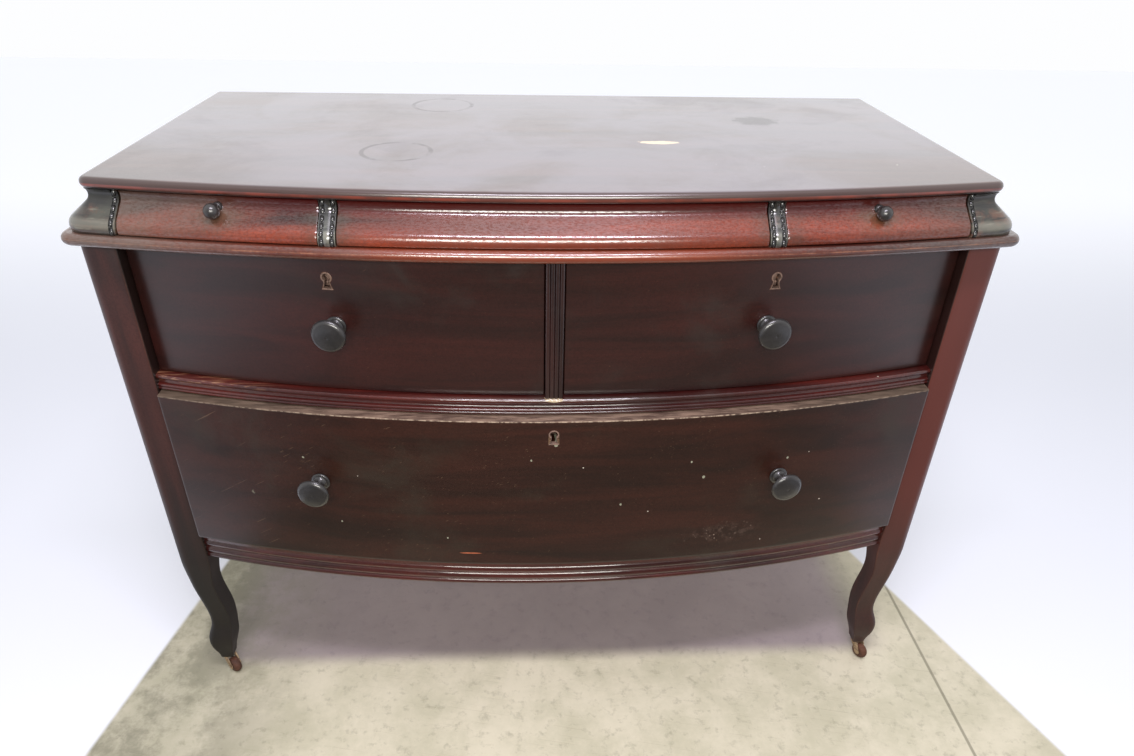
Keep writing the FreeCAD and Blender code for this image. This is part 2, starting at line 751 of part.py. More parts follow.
def add_case_drawers():
    upper_radius = case_bow_radius - upper_front_set_back
    z0 = mid_rail_top + reveal
    z1 = waist_under - reveal
    inner = divider_width / 2 + reveal
    outer = post_inner - reveal
    middle = (inner + outer) / 2
    upper_knob_z = mid_rail_top + upper_drawer_height / 2 - upper_knob_drop
    lower_knob_z = bottom_rail_top + lower_drawer_height / 2 + lower_knob_raise
    lower_knob_x = post_inner - lower_knob_inset
    mortises = []
    for side, sign in (("left", -1), ("right", 1)):
        x0, x1 = sorted((sign * inner, sign * outer))
        lock_x = sign * (middle + upper_lock_offset)
        mortises.append(add_case_drawer("upper_drawer_" + side, x0, x1, z0, z1, mid_rail_top, upper_radius,
                                        upper_front_wood, lock_x, waist_under - escutcheon_wood_above,
                                        "upper_knob_" + side, [sign * middle], upper_knob_z))
    lower_radius = case_bow_radius + lower_front_proud
    lower_lock_z = mid_rail_bottom - lower_escutcheon_drop
    lower_mortise = add_case_drawer("lower_drawer", -outer, outer, bottom_rail_top + reveal,
                                    mid_rail_bottom - reveal, bottom_rail_top, lower_radius,
                                    lower_front_wood, 0.0, lower_lock_z, "lower_knobs",
                                    [-lower_knob_x, lower_knob_x], lower_knob_z)
    return mortises, lower_mortise


def add_frieze_drawers(body):
    """Ogee fronts cut from the frieze, set back a little, on shallow boxes."""
    divider_out = frieze_divider_middle + frieze_divider_width / 2 + reveal
    divider_in = frieze_divider_middle - frieze_divider_width / 2 - reveal
    ends = block_inner - reveal
    middle_y = bow_middle_y + frieze_drawer_set_back
    set_back = body.copy()
    set_back.translate(V(0, frieze_drawer_set_back, 0))
    inner_radius = neck_radius - frieze_front_wood
    inside = Part.makeCylinder(inner_radius, frieze_height, V(0, middle_y, waist_top))
    knob_z = waist_top + ball_knob_height
    for name, x0, x1, knob_x in (("frieze_drawer_left", -ends, -divider_out, -1),
                                 ("frieze_drawer_centre", -divider_in, divider_in, 0),
                                 ("frieze_drawer_right", divider_out, ends, 1)):
        whole = set_back.common(block(x0, x1, waist_front - 20, 60, waist_top + reveal, top_under - reveal))
        front = whole.cut(inside)
        fittings = []
        if knob_x:
            x = (x0 + x1) / 2
            seat_radius = neck_radius
            fittings.append(knob_hole(ball_spigot_radius, x, knob_z, seat_radius, middle_y))
            seat = cylinder_y(ball_foot_radius + fit_gap, -frieze_bulge, 0.0, 0, 0)
            fittings.append(lifted(on_bow(seat, x, seat_radius, middle_y), knob_z))
            knob = lifted(on_bow(make_ball_knob(), x, seat_radius, middle_y), knob_z)
            add("frieze_knob_" + name.split("_")[-1], knob)
        fit_drawer(name, front, x0, x1, inner_radius, middle_y, waist_top + running_gap,
                   top_under - drawer_head_room, frieze_box_wood, fittings)


# ---------------------------------------------------------------- casters

def make_caster(foot, heading):
    """Yoke, axle, wheel and socket under a foot; heading is where the wheel points, in degrees."""
    stem_hole = stem_radius + bearing_clearance
    flange_under = foot.z - socket_flange
    head_top = flange_under - caster_gap
    head_under = head_top - yoke_head_thickness
    inner_gap = wheel_width / 2 + wheel_gap
    stem_top = foot.z + stem_length
    head = Part.makeCylinder(yoke_head_radius, yoke_head_thickness, V(0, 0, head_under))
    stem = Part.makeCylinder(stem_radius, stem_top - head_under, V(0, 0, head_under))
    pieces = [head, stem]
    eye = 4.6
    for side in (-1, 1):
        y0 = inner_gap if side > 0 else -inner_gap - yoke_plate
        cheek = Part.Face(wire_through([V(-5.0, y0, head_under + 1), V(yoke_head_radius, y0, head_under + 1),
                                        V(yoke_trail + eye, y0, wheel_radius),
                                        (V(yoke_trail, y0, wheel_radius - eye),
                                         V(yoke_trail - eye, y0, wheel_radius))]))
        pieces.append(cheek.extrude(V(0, yoke_plate, 0)))
        low, high = sorted((side * (inner_gap - 3), side * (inner_gap + yoke_plate)))
        pieces.append(block(-5.0, yoke_head_radius * 0.7, low, high, head_under, head_top))
    pin_hole = cylinder_y(axle_radius + 0.02, -20, 20, yoke_trail, wheel_radius)
    yoke = fuse(pieces).cut(pin_hole)
    reach = inner_gap + yoke_plate
    axle = cylinder_y(axle_radius, -reach, reach, yoke_trail, wheel_radius)
    half = wheel_width / 2
    bore = axle_radius + bearing_clearance
    edge = wheel_radius - wheel_crown
    rim = turned([(bore, -half), (edge, -half), ((wheel_radius, 0.0), (edge, half)), (bore, half)],
                 V(0, 1, 0))
    rim.translate(V(yoke_trail, 0, wheel_radius))
    outer = stem_hole + socket_wall
    tube = fuse([Part.makeCylinder(outer, stem_top + 1 - flange_under, V(0, 0, flange_under)),
                 Part.makeCylinder(socket_flange_radius, socket_flange, V(0, 0, flange_under))])
    socket = tube.cut(Part.makeCylinder(stem_hole, stem_top + 3 - flange_under, V(0, 0, flange_under - 1)))
    hole = Part.makeCylinder(outer + 0.05, stem_top + 2 - foot.z, V(foot.x, foot.y, foot.z - 1))
    placed = []
    for shape in (yoke, axle, rim, socket):
        shape.rotate(V(0, 0, 0), UP, heading)
        shape.translate(V(foot.x, foot.y, 0))
        placed.append(shape)
    return placed + [hole]


# ---------------------------------------------------------------- carcass

def make_side_frame():
    """Two side rails and the panel that they and the posts hold, on the right."""
    face = half_case - side_rail_inset
    x0 = face - side_rail_wood
    y0 = post_size
    y1 = rear_post_front
    lower_top = bottom_rail_bottom + lower_side_rail_height
    upper_under = waist_under - upper_side_rail_height
    upper = block(x0, face, y0, y1, upper_under, waist_under)
    lower = block(x0, face, y0, y1, bottom_rail_bottom, lower_top)
    px0 = x0 + (side_rail_wood - panel_wood) / 2
    px1 = px0 + panel_wood
    tongue = groove_depth - fit_gap
    panel = block(px0, px1, y0 - tongue, y1 + tongue, lower_top - tongue, upper_under + tongue)
    groove = block(px0 - fit_gap, px1 + fit_gap, y0 - groove_depth, y1 + groove_depth,
                   lower_top - groove_depth, upper_under + groove_depth)
    return upper.cut(groove), lower.cut(groove), panel, groove


def make_runners():
    """Strips that carry the drawers: beside the posts, under the dividers, and at the frieze."""
    y0 = rail_back
    y1 = rear_post_front
    side_mid = fuse([block(runner_inner, post_inner, y0, y1, mid_rail_bottom, mid_rail_top),
                     block(post_inner - 1, runner_outer, post_size, y1, mid_rail_bottom, mid_rail_top)])
    low = bottom_rail_top - mid_rail_height
    side_low = fuse([block(runner_inner, post_inner, y0, y1, low, bottom_rail_top),
                     block(post_inner - 1, runner_outer, post_size, y1, low, bottom_rail_top)])
    centre = block(-centre_runner_half, centre_runner_half, y0, y1, mid_rail_bottom, mid_rail_top)
    case_runners = [side_mid, mirrored(side_mid), centre, side_low, mirrored(side_low)]
    w0 = waist_rail_back
    frieze_side = block(runner_inner, post_inner, w0, y1, waist_under, waist_top)
    frieze_mid = block(frieze_divider_middle - frieze_runner_half,
                       frieze_divider_middle + frieze_runner_half, w0, y1, waist_under, waist_top)
    frieze_runners = [frieze_side, mirrored(frieze_side), frieze_mid, mirrored(frieze_mid)]
    return case_runners, frieze_runners


def dust_panel(x0, x1, y0, y1, z_middle):
    """Thin panel let into the strips round it, and the groove that it sits in."""
    half = dust_panel_wood / 2
    tongue = groove_depth - fit_gap
    panel = block(x0 - tongue, x1 + tongue, y0 - tongue, y1 + tongue, z_middle - half, z_middle + half)
    groove = block(x0 - groove_depth, x1 + groove_depth, y0 - groove_depth, y1 + groove_depth,
                   z_middle - half - fit_gap, z_middle + half + fit_gap)
    return panel, groove


def cut_all(shapes, cutter):
    return [shape.cut(cutter) for shape in shapes]


def build():
    mortises, lower_mortise = add_case_drawers()
    frieze = make_frieze_body()
    add_frieze_drawers(frieze)

    add("top_board", make_top_board())
    corner = cut_frieze(frieze, block_inner, half_bulge + 5, corner_block_depth)
    corner = beaded(corner, frieze, block_inner + corner_bead_inset)
    add("corner_block_right", corner)
    add("corner_block_left", mirrored(corner))
    side_board = frieze.common(block(half_neck - frieze_side_wood, half_bulge + 5, corner_block_depth,
                                     case_back, waist_top, top_under))
    add("frieze_side_right", side_board)
    add("frieze_side_left", mirrored(side_board))
    divider = cut_frieze(frieze, frieze_divider_middle - frieze_divider_width / 2,
                         frieze_divider_middle + frieze_divider_width / 2,
                         bow_y(top_bow_radius, bow_middle_y, frieze_divider_middle) + frieze_divider_depth)
    for side in (-1, 1):
        divider = beaded(divider, frieze, frieze_divider_middle + side * divider_bead_offset)
    add("frieze_dividers", divider, mirrored(divider))
    divider_back = bow_y(top_bow_radius, bow_middle_y, frieze_divider_middle) + frieze_divider_depth

    waist_rail, waist_side = make_waist_frame()
    mid_rail = make_mid_rail().cut(lower_mortise).cut(divider_mortise())
    bottom_rail = make_bottom_rail()
    for mortise in mortises:
        waist_rail = waist_rail.cut(mortise)
    waist_rail = waist_rail.cut(divider_mortise())

    upper_side_rail, lower_side_rail, panel, panel_groove = make_side_frame()
    back_y = case_back - back_panel_inset
    back_tongue = groove_depth - fit_gap
    back_panel = block(-post_inner - back_tongue, post_inner + back_tongue, back_y - panel_wood, back_y,
                       bottom_rail_bottom, waist_under)
    back_groove = block(-post_inner - groove_depth, post_inner + groove_depth, back_y - panel_wood - fit_gap,
                        back_y + fit_gap, bottom_rail_bottom - 1, waist_under + 1)

    foot = front_foot()
    caster_places = [("front_left", V(-foot.x, foot.y, foot.z), -40.0), ("front_right", foot, -60.0),
                     ("rear_left", V(-rear_foot().x, rear_foot().y, foot_height), -75.0),
                     ("rear_right", rear_foot(), -110.0)]
    sockets = []
    holes = {}
    for place, point, heading in caster_places:
        yoke, axle, wheel, socket, hole = make_caster(point, heading)
        add("caster_yoke_" + place, yoke, axle)
        add("caster_wheel_" + place, wheel)
        sockets.append(socket)
        holes[place] = hole

    front_post = make_front_post().cut(panel_groove)
    front_post = front_post.cut(tenon_mortise(mid_rail_bottom, mid_rail_top))
    front_post = front_post.cut(tenon_mortise(bottom_rail_bottom, bottom_rail_top))
    rear_post = make_rear_post().cut(panel_groove).cut(back_groove)
    add("front_post_right", front_post.cut(holes["front_right"]))
    add("front_post_left", mirrored(front_post).cut(holes["front_left"]))
    add("rear_posts", rear_post.cut(holes["rear_right"]), mirrored(rear_post).cut(holes["rear_left"]))
    add("caster_sockets", *sockets)

    case_runners, frieze_runners = make_runners()
    back_front = rear_post_front
    back_rail_back = back_front + back_rail_wood
    mid_back = block(-post_inner, post_inner, back_front, back_rail_back, mid_rail_bottom, mid_rail_top)
    low_back = block(-post_inner, post_inner, back_front, back_rail_back,
                     bottom_rail_bottom, bottom_rail_top)
    waist_back = block(-post_inner, post_inner, back_front, case_back, waist_under, waist_top)
    frieze_back = block(-half_neck + frieze_side_wood, half_neck - frieze_side_wood,
                        case_back - back_rail_wood, case_back, waist_top, top_under)

    panels = []
    mid_z = (mid_rail_bottom + mid_rail_top) / 2
    waist_z = (waist_under + waist_top) / 2
    centre_half = frieze_divider_middle - frieze_runner_half
    side_start = frieze_divider_middle + frieze_runner_half
    for x0, x1, y0, z in ((centre_runner_half, runner_inner, rail_back, mid_z),
                          (-runner_inner, -centre_runner_half, rail_back, mid_z),
                          (-centre_half, centre_half, waist_rail_back, waist_z),
                          (side_start, runner_inner, waist_rail_back, waist_z),
                          (-runner_inner, -side_start, waist_rail_back, waist_z)):
        sheet, groove = dust_panel(x0, x1, y0, back_front, z)
        panels.append(sheet)
        case_runners = cut_all(case_runners, groove)
        frieze_runners = cut_all(frieze_runners, groove)
        mid_rail = mid_rail.cut(groove)
        waist_rail = waist_rail.cut(groove)
        mid_back = mid_back.cut(groove)
        waist_back = waist_back.cut(groove)

    add("mid_rail", mid_rail)
    add("bottom_rail", bottom_rail)
    add("upper_divider", make_upper_divider())
    add("waist_rail", waist_rail)
    add("waist_moulding_right", waist_side)
    add("waist_moulding_left", mirrored(waist_side))
    add("side_rails", upper_side_rail, lower_side_rail, mirrored(upper_side_rail), mirrored(lower_side_rail))
    add("side_panels", panel, mirrored(panel))
    add("back_panel", back_panel)
    add("back_rails", mid_back, low_back, waist_back, frieze_back)
    add("drawer_runners", *case_runners)
    add("frieze_runners", *frieze_runners)
    add("dust_panels", *panels)

    # guides stand on the runners and keep the drawers straight
    guide_half = divider_width / 2 - 0.5
    upper_guide = block(-guide_half, guide_half, rail_back, back_front,
                        mid_rail_top, mid_rail_top + guide_height)
    frieze_guide = block(frieze_divider_middle - frieze_divider_width / 2 + 0.5,
                         frieze_divider_middle + frieze_divider_width / 2 - 0.5,
                         divider_back, back_front, waist_top, waist_top + guide_height)
    side_guide = block(block_inner + 0.5, half_neck - frieze_side_wood, corner_block_depth,
                       case_back - back_rail_wood, waist_top, waist_top + guide_height)
    add("drawer_guides", upper_guide, frieze_guide, mirrored(frieze_guide), side_guide, mirrored(side_guide))

    cleat = block(block_inner + 0.5, half_neck - frieze_side_wood, corner_block_depth,
                  case_back - back_rail_wood, top_under - cleat_height, top_under)
    back_cleat = block(-runner_inner, runner_inner, case_back - back_rail_wood - cleat_height,
                       case_back - back_rail_wood, top_under - cleat_height, top_under)
    add("top_cleats", cleat, mirrored(cleat), back_cleat)


def reach_of(shapes):
    boxes = [shape.optimalBoundingBox(False, False) for shape in shapes]
    return min(box.YMin for box in boxes), max(box.YMax for box in boxes)


def write_nodes():
    """One STEP file for each node, with the origin on the floor under the middle of the overall box."""
    os.makedirs("parts", exist_ok=True)
    every = [shape for shapes in nodes.values() for shape in shapes]
    front, back = reach_of(every)
    shift = V(0, -(front + back) / 2, 0)
    for name, shapes in nodes.items():
        moved = []
        for shape in shapes:
            solids = shape.Solids
            for solid in solids:
                copy = solid.copy()
                copy.translate(shift)
                moved.append(copy)
        result = moved[0] if len(moved) == 1 else Part.makeCompound(moved)
        result.exportStep("parts/" + name + ".step")
    print("nodes", len(nodes), "shift", round(shift.y, 3), "front", round(front, 3), "back", round(back, 3))


build()
write_nodes()
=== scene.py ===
import math

import bmesh
import bpy
from mathutils import Matrix, Vector


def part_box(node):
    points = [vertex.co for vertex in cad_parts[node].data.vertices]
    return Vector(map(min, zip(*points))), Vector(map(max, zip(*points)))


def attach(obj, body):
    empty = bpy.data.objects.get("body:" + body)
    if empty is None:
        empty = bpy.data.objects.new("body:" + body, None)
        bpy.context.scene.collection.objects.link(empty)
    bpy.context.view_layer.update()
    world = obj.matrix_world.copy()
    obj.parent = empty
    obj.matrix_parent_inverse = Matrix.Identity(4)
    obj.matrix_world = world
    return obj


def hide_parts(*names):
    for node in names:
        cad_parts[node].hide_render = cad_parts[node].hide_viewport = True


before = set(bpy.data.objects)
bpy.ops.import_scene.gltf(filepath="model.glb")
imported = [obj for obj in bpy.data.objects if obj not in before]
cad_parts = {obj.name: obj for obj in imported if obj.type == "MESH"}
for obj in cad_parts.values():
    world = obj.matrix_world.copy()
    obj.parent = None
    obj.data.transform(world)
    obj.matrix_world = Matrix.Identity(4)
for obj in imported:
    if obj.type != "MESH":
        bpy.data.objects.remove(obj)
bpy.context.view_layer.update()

# Shapes are worked out in millimetres with Y = 0 on the front faces of the front posts, as a cabinet maker
# would measure them, and each finished mesh is put into the frame's metres once.
carcass = {
    "postOuter": 580.0, "postInner": 534.0, "midRailTop": 607.5, "waistUnder": 800.5, "waistTop": 815.5,
    "topUnder": 863.0, "topTop": 877.0, "caseBack": 486.0, "blockInner": 514.5,
    "sideSteps": (120.0, 200.0, 290.0, 380.0),
}
# strips between the frieze drawers, and the channels for beads in them and in the corner blocks
friezeStrip = {"half": 10.0, "middle": 264.0, "crown": 0.7, "wood": 40.0, "under": 30.0}
channel = {"width": 5.2, "depth": 1.2, "wall": 0.2, "under": 2.0, "cornerInset": 5.0, "stripOffset": 6.2}
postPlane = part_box("rear_posts")[1].y - carcass["caseBack"] / 1000

friezeBow = {"half": 553.5, "corner": 3.0, "radius": 2977.5, "middleY": 2934.0}
drawerBow = dict(friezeBow, middleY=friezeBow["middleY"] + 1.5)
topBow = {"half": 553.0, "corner": 8.0, "radius": 2978.0, "middleY": 2934.0}
waistBow = {"half": 581.5, "corner": 11.5, "radius": 3005.5, "middleY": 2934.0}
caseBow = {"radius": 2016.0, "middleY": 1949.0}
sides = {"left": -1, "right": 1}


# ---- curves and outlines

def bowPoint(bow, reach, x):
    return x, bow["middleY"] - math.sqrt((bow["radius"] + reach) ** 2 - x * x)


def arcThrough(a, via, b, steps):
    # points from a to b on the circle through all three, a left out
    ax, ay = a
    bx, by = via
    cx, cy = b
    d = 2 * (ax * (by - cy) + bx * (cy - ay) + cx * (ay - by))
    a2, b2, c2 = ax * ax + ay * ay, bx * bx + by * by, cx * cx + cy * cy
    ux = (a2 * (by - cy) + b2 * (cy - ay) + c2 * (ay - by)) / d
    uy = (a2 * (cx - bx) + b2 * (ax - cx) + c2 * (bx - ax)) / d
    radius = math.hypot(ax - ux, ay - uy)
    start = math.atan2(ay - uy, ax - ux)
    middle = (math.atan2(by - uy, bx - ux) - start) % (2 * math.pi)
    end = (math.atan2(cy - uy, cx - ux) - start) % (2 * math.pi)
    if middle > end:
        end -= 2 * math.pi
    angles = [start + end * i / steps for i in range(1, steps + 1)]
    return [(ux + radius * math.cos(a), uy + radius * math.sin(a)) for a in angles]


def smoothCurve(points, steps):
    # natural cubic through the points, measured by chord length
    count = len(points)
    t = [0.0]
    for p, q in zip(points, points[1:]):
        t.append(t[-1] + math.dist(p, q))

    def secondDerivatives(values):
        m, c, d = ([0.0] * count for n in range(3))
        for i in range(1, count - 1):
            h0, h1 = t[i] - t[i - 1], t[i + 1] - t[i]
            rhs = 6 * ((values[i + 1] - values[i]) / h1 - (values[i] - values[i - 1]) / h0)
            w = 2 * (h0 + h1) - h0 * c[i - 1]
            c[i] = h1 / w
            d[i] = (rhs - h0 * d[i - 1]) / w
        for i in range(count - 2, 0, -1):
            m[i] = d[i] - c[i] * m[i + 1]
        return m

    axes = [[p[k] for p in points] for k in range(len(points[0]))]
    seconds = [secondDerivatives(v) for v in axes]
    out = []
    for i in range(count - 1):
        h = t[i + 1] - t[i]
        for s in range(steps):
            u = h * s / steps
            out.append(tuple(((h - u) ** 3 * m[i] + u ** 3 * m[i + 1]) / (6 * h)
                             + (v[i] / h - m[i] * h / 6) * (h - u) + (v[i + 1] / h - m[i + 1] * h / 6) * u
                             for v, m in zip(axes, seconds)))
    out.append(tuple(points[-1]))
    return out


# A station is a plane across a moulding: it maps a reach from the outline to a point.

def bowStations(bow, xs):
    return [lambda reach, x=x: bowPoint(bow, reach, x) for x in xs]


def sideStations(bow, ys):
    return [lambda reach, y=y: (bow["half"] + reach, y) for y in ys]


def returnStations(bow, startX, backY, frontSteps, cornerSteps=10, sideSteps=6):
    # from the plane X = startX on the bow, round the right corner and along the side
    inner = bow["radius"] - bow["corner"]
    cx = bow["half"] - bow["corner"]
    cy = bow["middleY"] - math.sqrt(inner ** 2 - cx * cx)
    sweep = math.asin(cx / inner)
    out = []
    for i in range(frontSteps):
        def front(reach, share=i / frontSteps):
            radius = bow["radius"] + reach
            start = math.asin(startX / radius)
            angle = start + (sweep - start) * share
            return radius * math.sin(angle), bow["middleY"] - radius * math.cos(angle)
        out.append(front)
    for i in range(cornerSteps + 1):
        angle = sweep + (math.pi / 2 - sweep) * i / cornerSteps
        out.append(lambda reach, a=angle: (cx + (bow["corner"] + reach) * math.sin(a),
                                           cy - (bow["corner"] + reach) * math.cos(a)))
    return out + sideStations(bow, [cy + (backY - cy) * i / sideSteps for i in range(1, sideSteps + 1)])


def bothWays(stations):
    flipped = [lambda reach, s=s: (-s(reach)[0], s(reach)[1]) for s in reversed(stations)]
    return flipped + stations[1:]


def squareTo(bow, reach, x, z):
    # puts a shape made at the origin, facing -Y, square to the bow at x
    angle = math.asin(x / (bow["radius"] + reach))
    y = bowPoint(bow, reach, x)[1]
    c, s = math.cos(angle), math.sin(angle)
    return lambda px, py, pz: (x + px * c - py * s, y + px * s + py * c, z + pz)


# ---- meshes

def addObject(name, data):
    obj = bpy.data.objects.new(name, data)
    bpy.context.scene.collection.objects.link(obj)
    return obj


def shadedObject(name, mesh, sharp=32.0):
    mesh.shade_smooth()
    mesh.set_sharp_from_angle(angle=math.radians(sharp))
    return addObject(name, mesh)


def setLayer(mesh, label, values):
    # a number per vertex for the finishes to read, or one for all
    layer = mesh.attributes.new(label, "FLOAT", "POINT")
    layer.data.foreach_set("value", values if isinstance(values, list) else [values] * len(mesh.vertices))


def makePiece(name, verts, faces, edges=20.0, crests=0.5, flip=False):
    # verts in mm; edges holds each vertex's distance to the nearest arris, crests how far out on a moulding
    sign = -1.0 if flip else 1.0
    mesh = bpy.data.meshes.new(name)
    mesh.from_pydata([(sign * x / 1000, y / 1000 + postPlane, z / 1000) for x, y, z in verts], [], faces)
    setLayer(mesh, "edge", edges)
    setLayer(mesh, "crest", crests)
    return tidyMesh(name, mesh)


def tidyMesh(name, mesh):
    bm = bmesh.new()
    bm.from_mesh(mesh)
    bmesh.ops.remove_doubles(bm, verts=bm.verts, dist=1e-6)
    bmesh.ops.dissolve_degenerate(bm, edges=bm.edges, dist=1e-7)
    bmesh.ops.recalc_face_normals(bm, faces=bm.faces)
    bm.to_mesh(mesh)
    bm.free()
    return shadedObject(name, mesh)


def joinPieces(name, parts):
    # one mesh from several objects at the origin
    bm = bmesh.new()
    for part in parts:
        bm.from_mesh(part.data)
    mesh = bpy.data.meshes.new(name)
    bm.to_mesh(mesh)
    bm.free()
    for part in parts:
        bpy.data.objects.remove(part)
    return shadedObject(name, mesh)


def bakeModifiers(obj, others=()):
    # plain mesh of what the modifiers make; the object and its helpers go
    mesh = bpy.data.meshes.new_from_object(obj.evaluated_get(bpy.context.evaluated_depsgraph_get()))
    for thing in [obj, *others]:
        bpy.data.objects.remove(thing)
    return mesh


def cutAway(obj, cutters):
    name = obj.name
    for cutter in cutters:
        modifier = obj.modifiers.new("cut", "BOOLEAN")
        modifier.operation = "DIFFERENCE"
        modifier.solver = "EXACT"
        modifier.object = cutter
    return shadedObject(name, bakeModifiers(obj, cutters))


def gridFaces(rows, size, closed=True):
    # quads between neighbouring rows of points
    return [(i * size + j, i * size + (j + 1) % size, (i + 1) * size + (j + 1) % size, (i + 1) * size + j)
            for i in range(rows - 1) for j in range(size if closed else size - 1)]


def cappedFaces(rows, size):
    return gridFaces(rows, size) + [tuple(range(size)), tuple(range((rows - 1) * size, rows * size))]


def sweptLoop(name, stations, loop, endSoft=0.0, flip=False):
    # closed section swept through the stations, ends capped; loop holds (reach, z, edge, crest)
    verts, edges, crests = [], [], []
    for index, station in enumerate(stations):
        atEnd = index in (0, len(stations) - 1)
        for reach, z, edge, crest in loop:
            verts.append((*station(reach - (endSoft if atEnd and edge < 15 else 0.0)), z))
            edges.append(0.0 if atEnd else edge)
            crests.append(crest)
    return makePiece(name, verts, cappedFaces(len(stations), len(loop)), edges, crests, flip)


def mouldedSlab(name, stations, chain):
    # board with a moulded edge: chain runs from the top face over the edge to the underside
    size, count = len(chain), len(stations)
    verts = [(*station(point[0]), point[1]) for station in stations for point in chain]
    faces = gridFaces(count, size, False)
    faces.append(tuple(i * size for i in range(count)))
    faces.append(tuple(i * size + size - 1 for i in reversed(range(count))))
    faces.append(tuple(range(size)) + tuple((count - 1) * size + j for j in reversed(range(size))))
    edges, crests = ([point[k] for point in chain] * count for k in (2, 3))
    return makePiece(name, verts, faces, edges, crests)


def prism(name, near, far, edge=20.0):
    # solid between two like outlines
    count = len(near)
    faces = [tuple(range(count)), tuple(range(count, 2 * count))]
    faces += [(i, (i + 1) % count, (i + 1) % count + count, i + count) for i in range(count)]
    return makePiece(name, near + far, faces, edge)


def uprightPrism(name, outline, z0, z1, edge=20.0):
    return prism(name, [(x, y, z0) for x, y in outline], [(x, y, z1) for x, y in outline], edge)


def turnedPiece(name, profile, place, steps=48):
    # profile holds (radius, distance, edge); place maps a point on the axis frame (x, y outwards, z) to mm
    angles = [2 * math.pi * i / steps for i in range(steps)]
    verts = [place(radius * math.cos(a), -reach, radius * math.sin(a)) for a in angles
             for radius, reach, edge in profile]
    faces = [tuple(v % len(verts) for v in face) for face in gridFaces(steps + 1, len(profile), False)]
    return makePiece(name, verts, faces, [edge for radius, reach, edge in profile] * steps)


# ---- node helpers: nodes go into the tree that is being built

now = {}


def addNode(kind, inputs=(), **settings):
    node = now["tree"].nodes.new(kind)
    for key, value in settings.items():
        setattr(node, key, value)
    feedAll(node, dict(inputs))
    return node


def feed(socket, value):
    if isinstance(value, bpy.types.NodeSocket):
        now["tree"].links.new(value, socket)
    else:
        socket.default_value = value


def feedAll(node, inputs):
    for key, value in inputs.items():
        feed(node.inputs[key], value)


def calc(operation, *values, clamp=False):
    return addNode("ShaderNodeMath", enumerate(values), operation=operation, use_clamp=clamp).outputs[0]


def add(a, b, clamp=False):
    return calc("ADD", a, b, clamp=clamp)


def sub(a, b, clamp=False):
    return calc("SUBTRACT", a, b, clamp=clamp)


def mul(a, b, clamp=False):
    return calc("MULTIPLY", a, b, clamp=clamp)


def away(value, middle=0.0):
    return calc("ABSOLUTE", sub(value, middle) if middle else value)


def vectorCalc(operation, *values):
    node = addNode("ShaderNodeVectorMath", enumerate(values), operation=operation)
    return node.outputs[1 if operation in ("LENGTH", "DISTANCE") else 0]


def scaled(vector, factor):
    return addNode("ShaderNodeVectorMath", {0: vector, 3: factor}, operation="SCALE").outputs[0]


def axisValues(vector):
    return addNode("ShaderNodeSeparateXYZ", {0: vector}).outputs


def ramp(value, low, high, outLow=0.0, outHigh=1.0):
    inputs = enumerate((value, low, high, outLow, outHigh))
    return addNode("ShaderNodeMapRange", inputs, interpolation_type="SMOOTHSTEP").outputs[0]


def noise(vector, scale=1.0, detail=3.0, roughness=0.55, distortion=0.0):
    inputs = {"Vector": vector, "Scale": scale, "Detail": detail, "Roughness": roughness,
              "Distortion": distortion}
    return addNode("ShaderNodeTexNoise", inputs).outputs["Fac"]


def stretchedNoise(vector, scales, *settings):
    return noise(vectorCalc("MULTIPLY", vector, scales), 1.0, *settings)


def paint(colour):
    # screen values 0 to 255 to a linear colour; sockets and linear colours pass through
    def linear(v):
        v /= 255
        return v / 12.92 if v <= 0.04045 else ((v + 0.055) / 1.055) ** 2.4
    if isinstance(colour, tuple) and len(colour) == 3:
        return (*[linear(v) for v in colour], 1.0)
    return colour


def blend(mask, a, b, mode="MIX"):
    inputs = {0: mask, 6: paint(a), 7: paint(b)}
    return addNode("ShaderNodeMix", inputs, data_type="RGBA", blend_type=mode).outputs[2]


def tint(colour, mask, over, share=1.0):
    # lays one colour over another through a mask, at a share of its strength
    return blend(mask if share == 1.0 else mul(mask, share), colour, over)


def addBump(shader, height, strength, distance):
    bump = addNode("ShaderNodeBump", {"Strength": strength, "Distance": distance, "Height": height})
    feed(shader.inputs["Normal"], bump.outputs[0])


def startTree(name, kind, inputs, outputs):
    tree = bpy.data.node_groups.new(name, kind)
    for direction, sockets in (("INPUT", inputs), ("OUTPUT", outputs)):
        for label, socket in sockets.items():
            tree.interface.new_socket(name=label, in_out=direction, socket_type="NodeSocket" + socket)
    now["tree"] = tree
    return tree, addNode("NodeGroupInput").outputs, addNode("NodeGroupOutput").inputs


def startEffect(name, outputs=("Mask",), **inputs):
    inputs = {"Position": "Vector", **inputs}
    return startTree(name, "ShaderNodeTree", inputs, {label: "Float" for label in outputs})


# ---- shared effects

def buildGrain():
    tree, given, out = startEffect("woodGrain", ("Figure", "Streaks", "Pores"),
                                   Figure="Vector", Streak="Vector", Pore="Vector")
    for label, size, settings, low, high in (("Figure", "Figure", (4.0, 0.5, 0.8), 0.3, 0.7),
                                             ("Streaks", "Streak", (3.0, 0.6, 0.2), 0.3, 0.72),
                                             ("Pores", "Pore", (2.0, 0.7, 0.1), 0.56, 0.74)):
        lines = noise(vectorCalc("DIVIDE", given["Position"], given[size]), 1.0, *settings)
        feed(out[label], ramp(lines, low, high))
    return tree


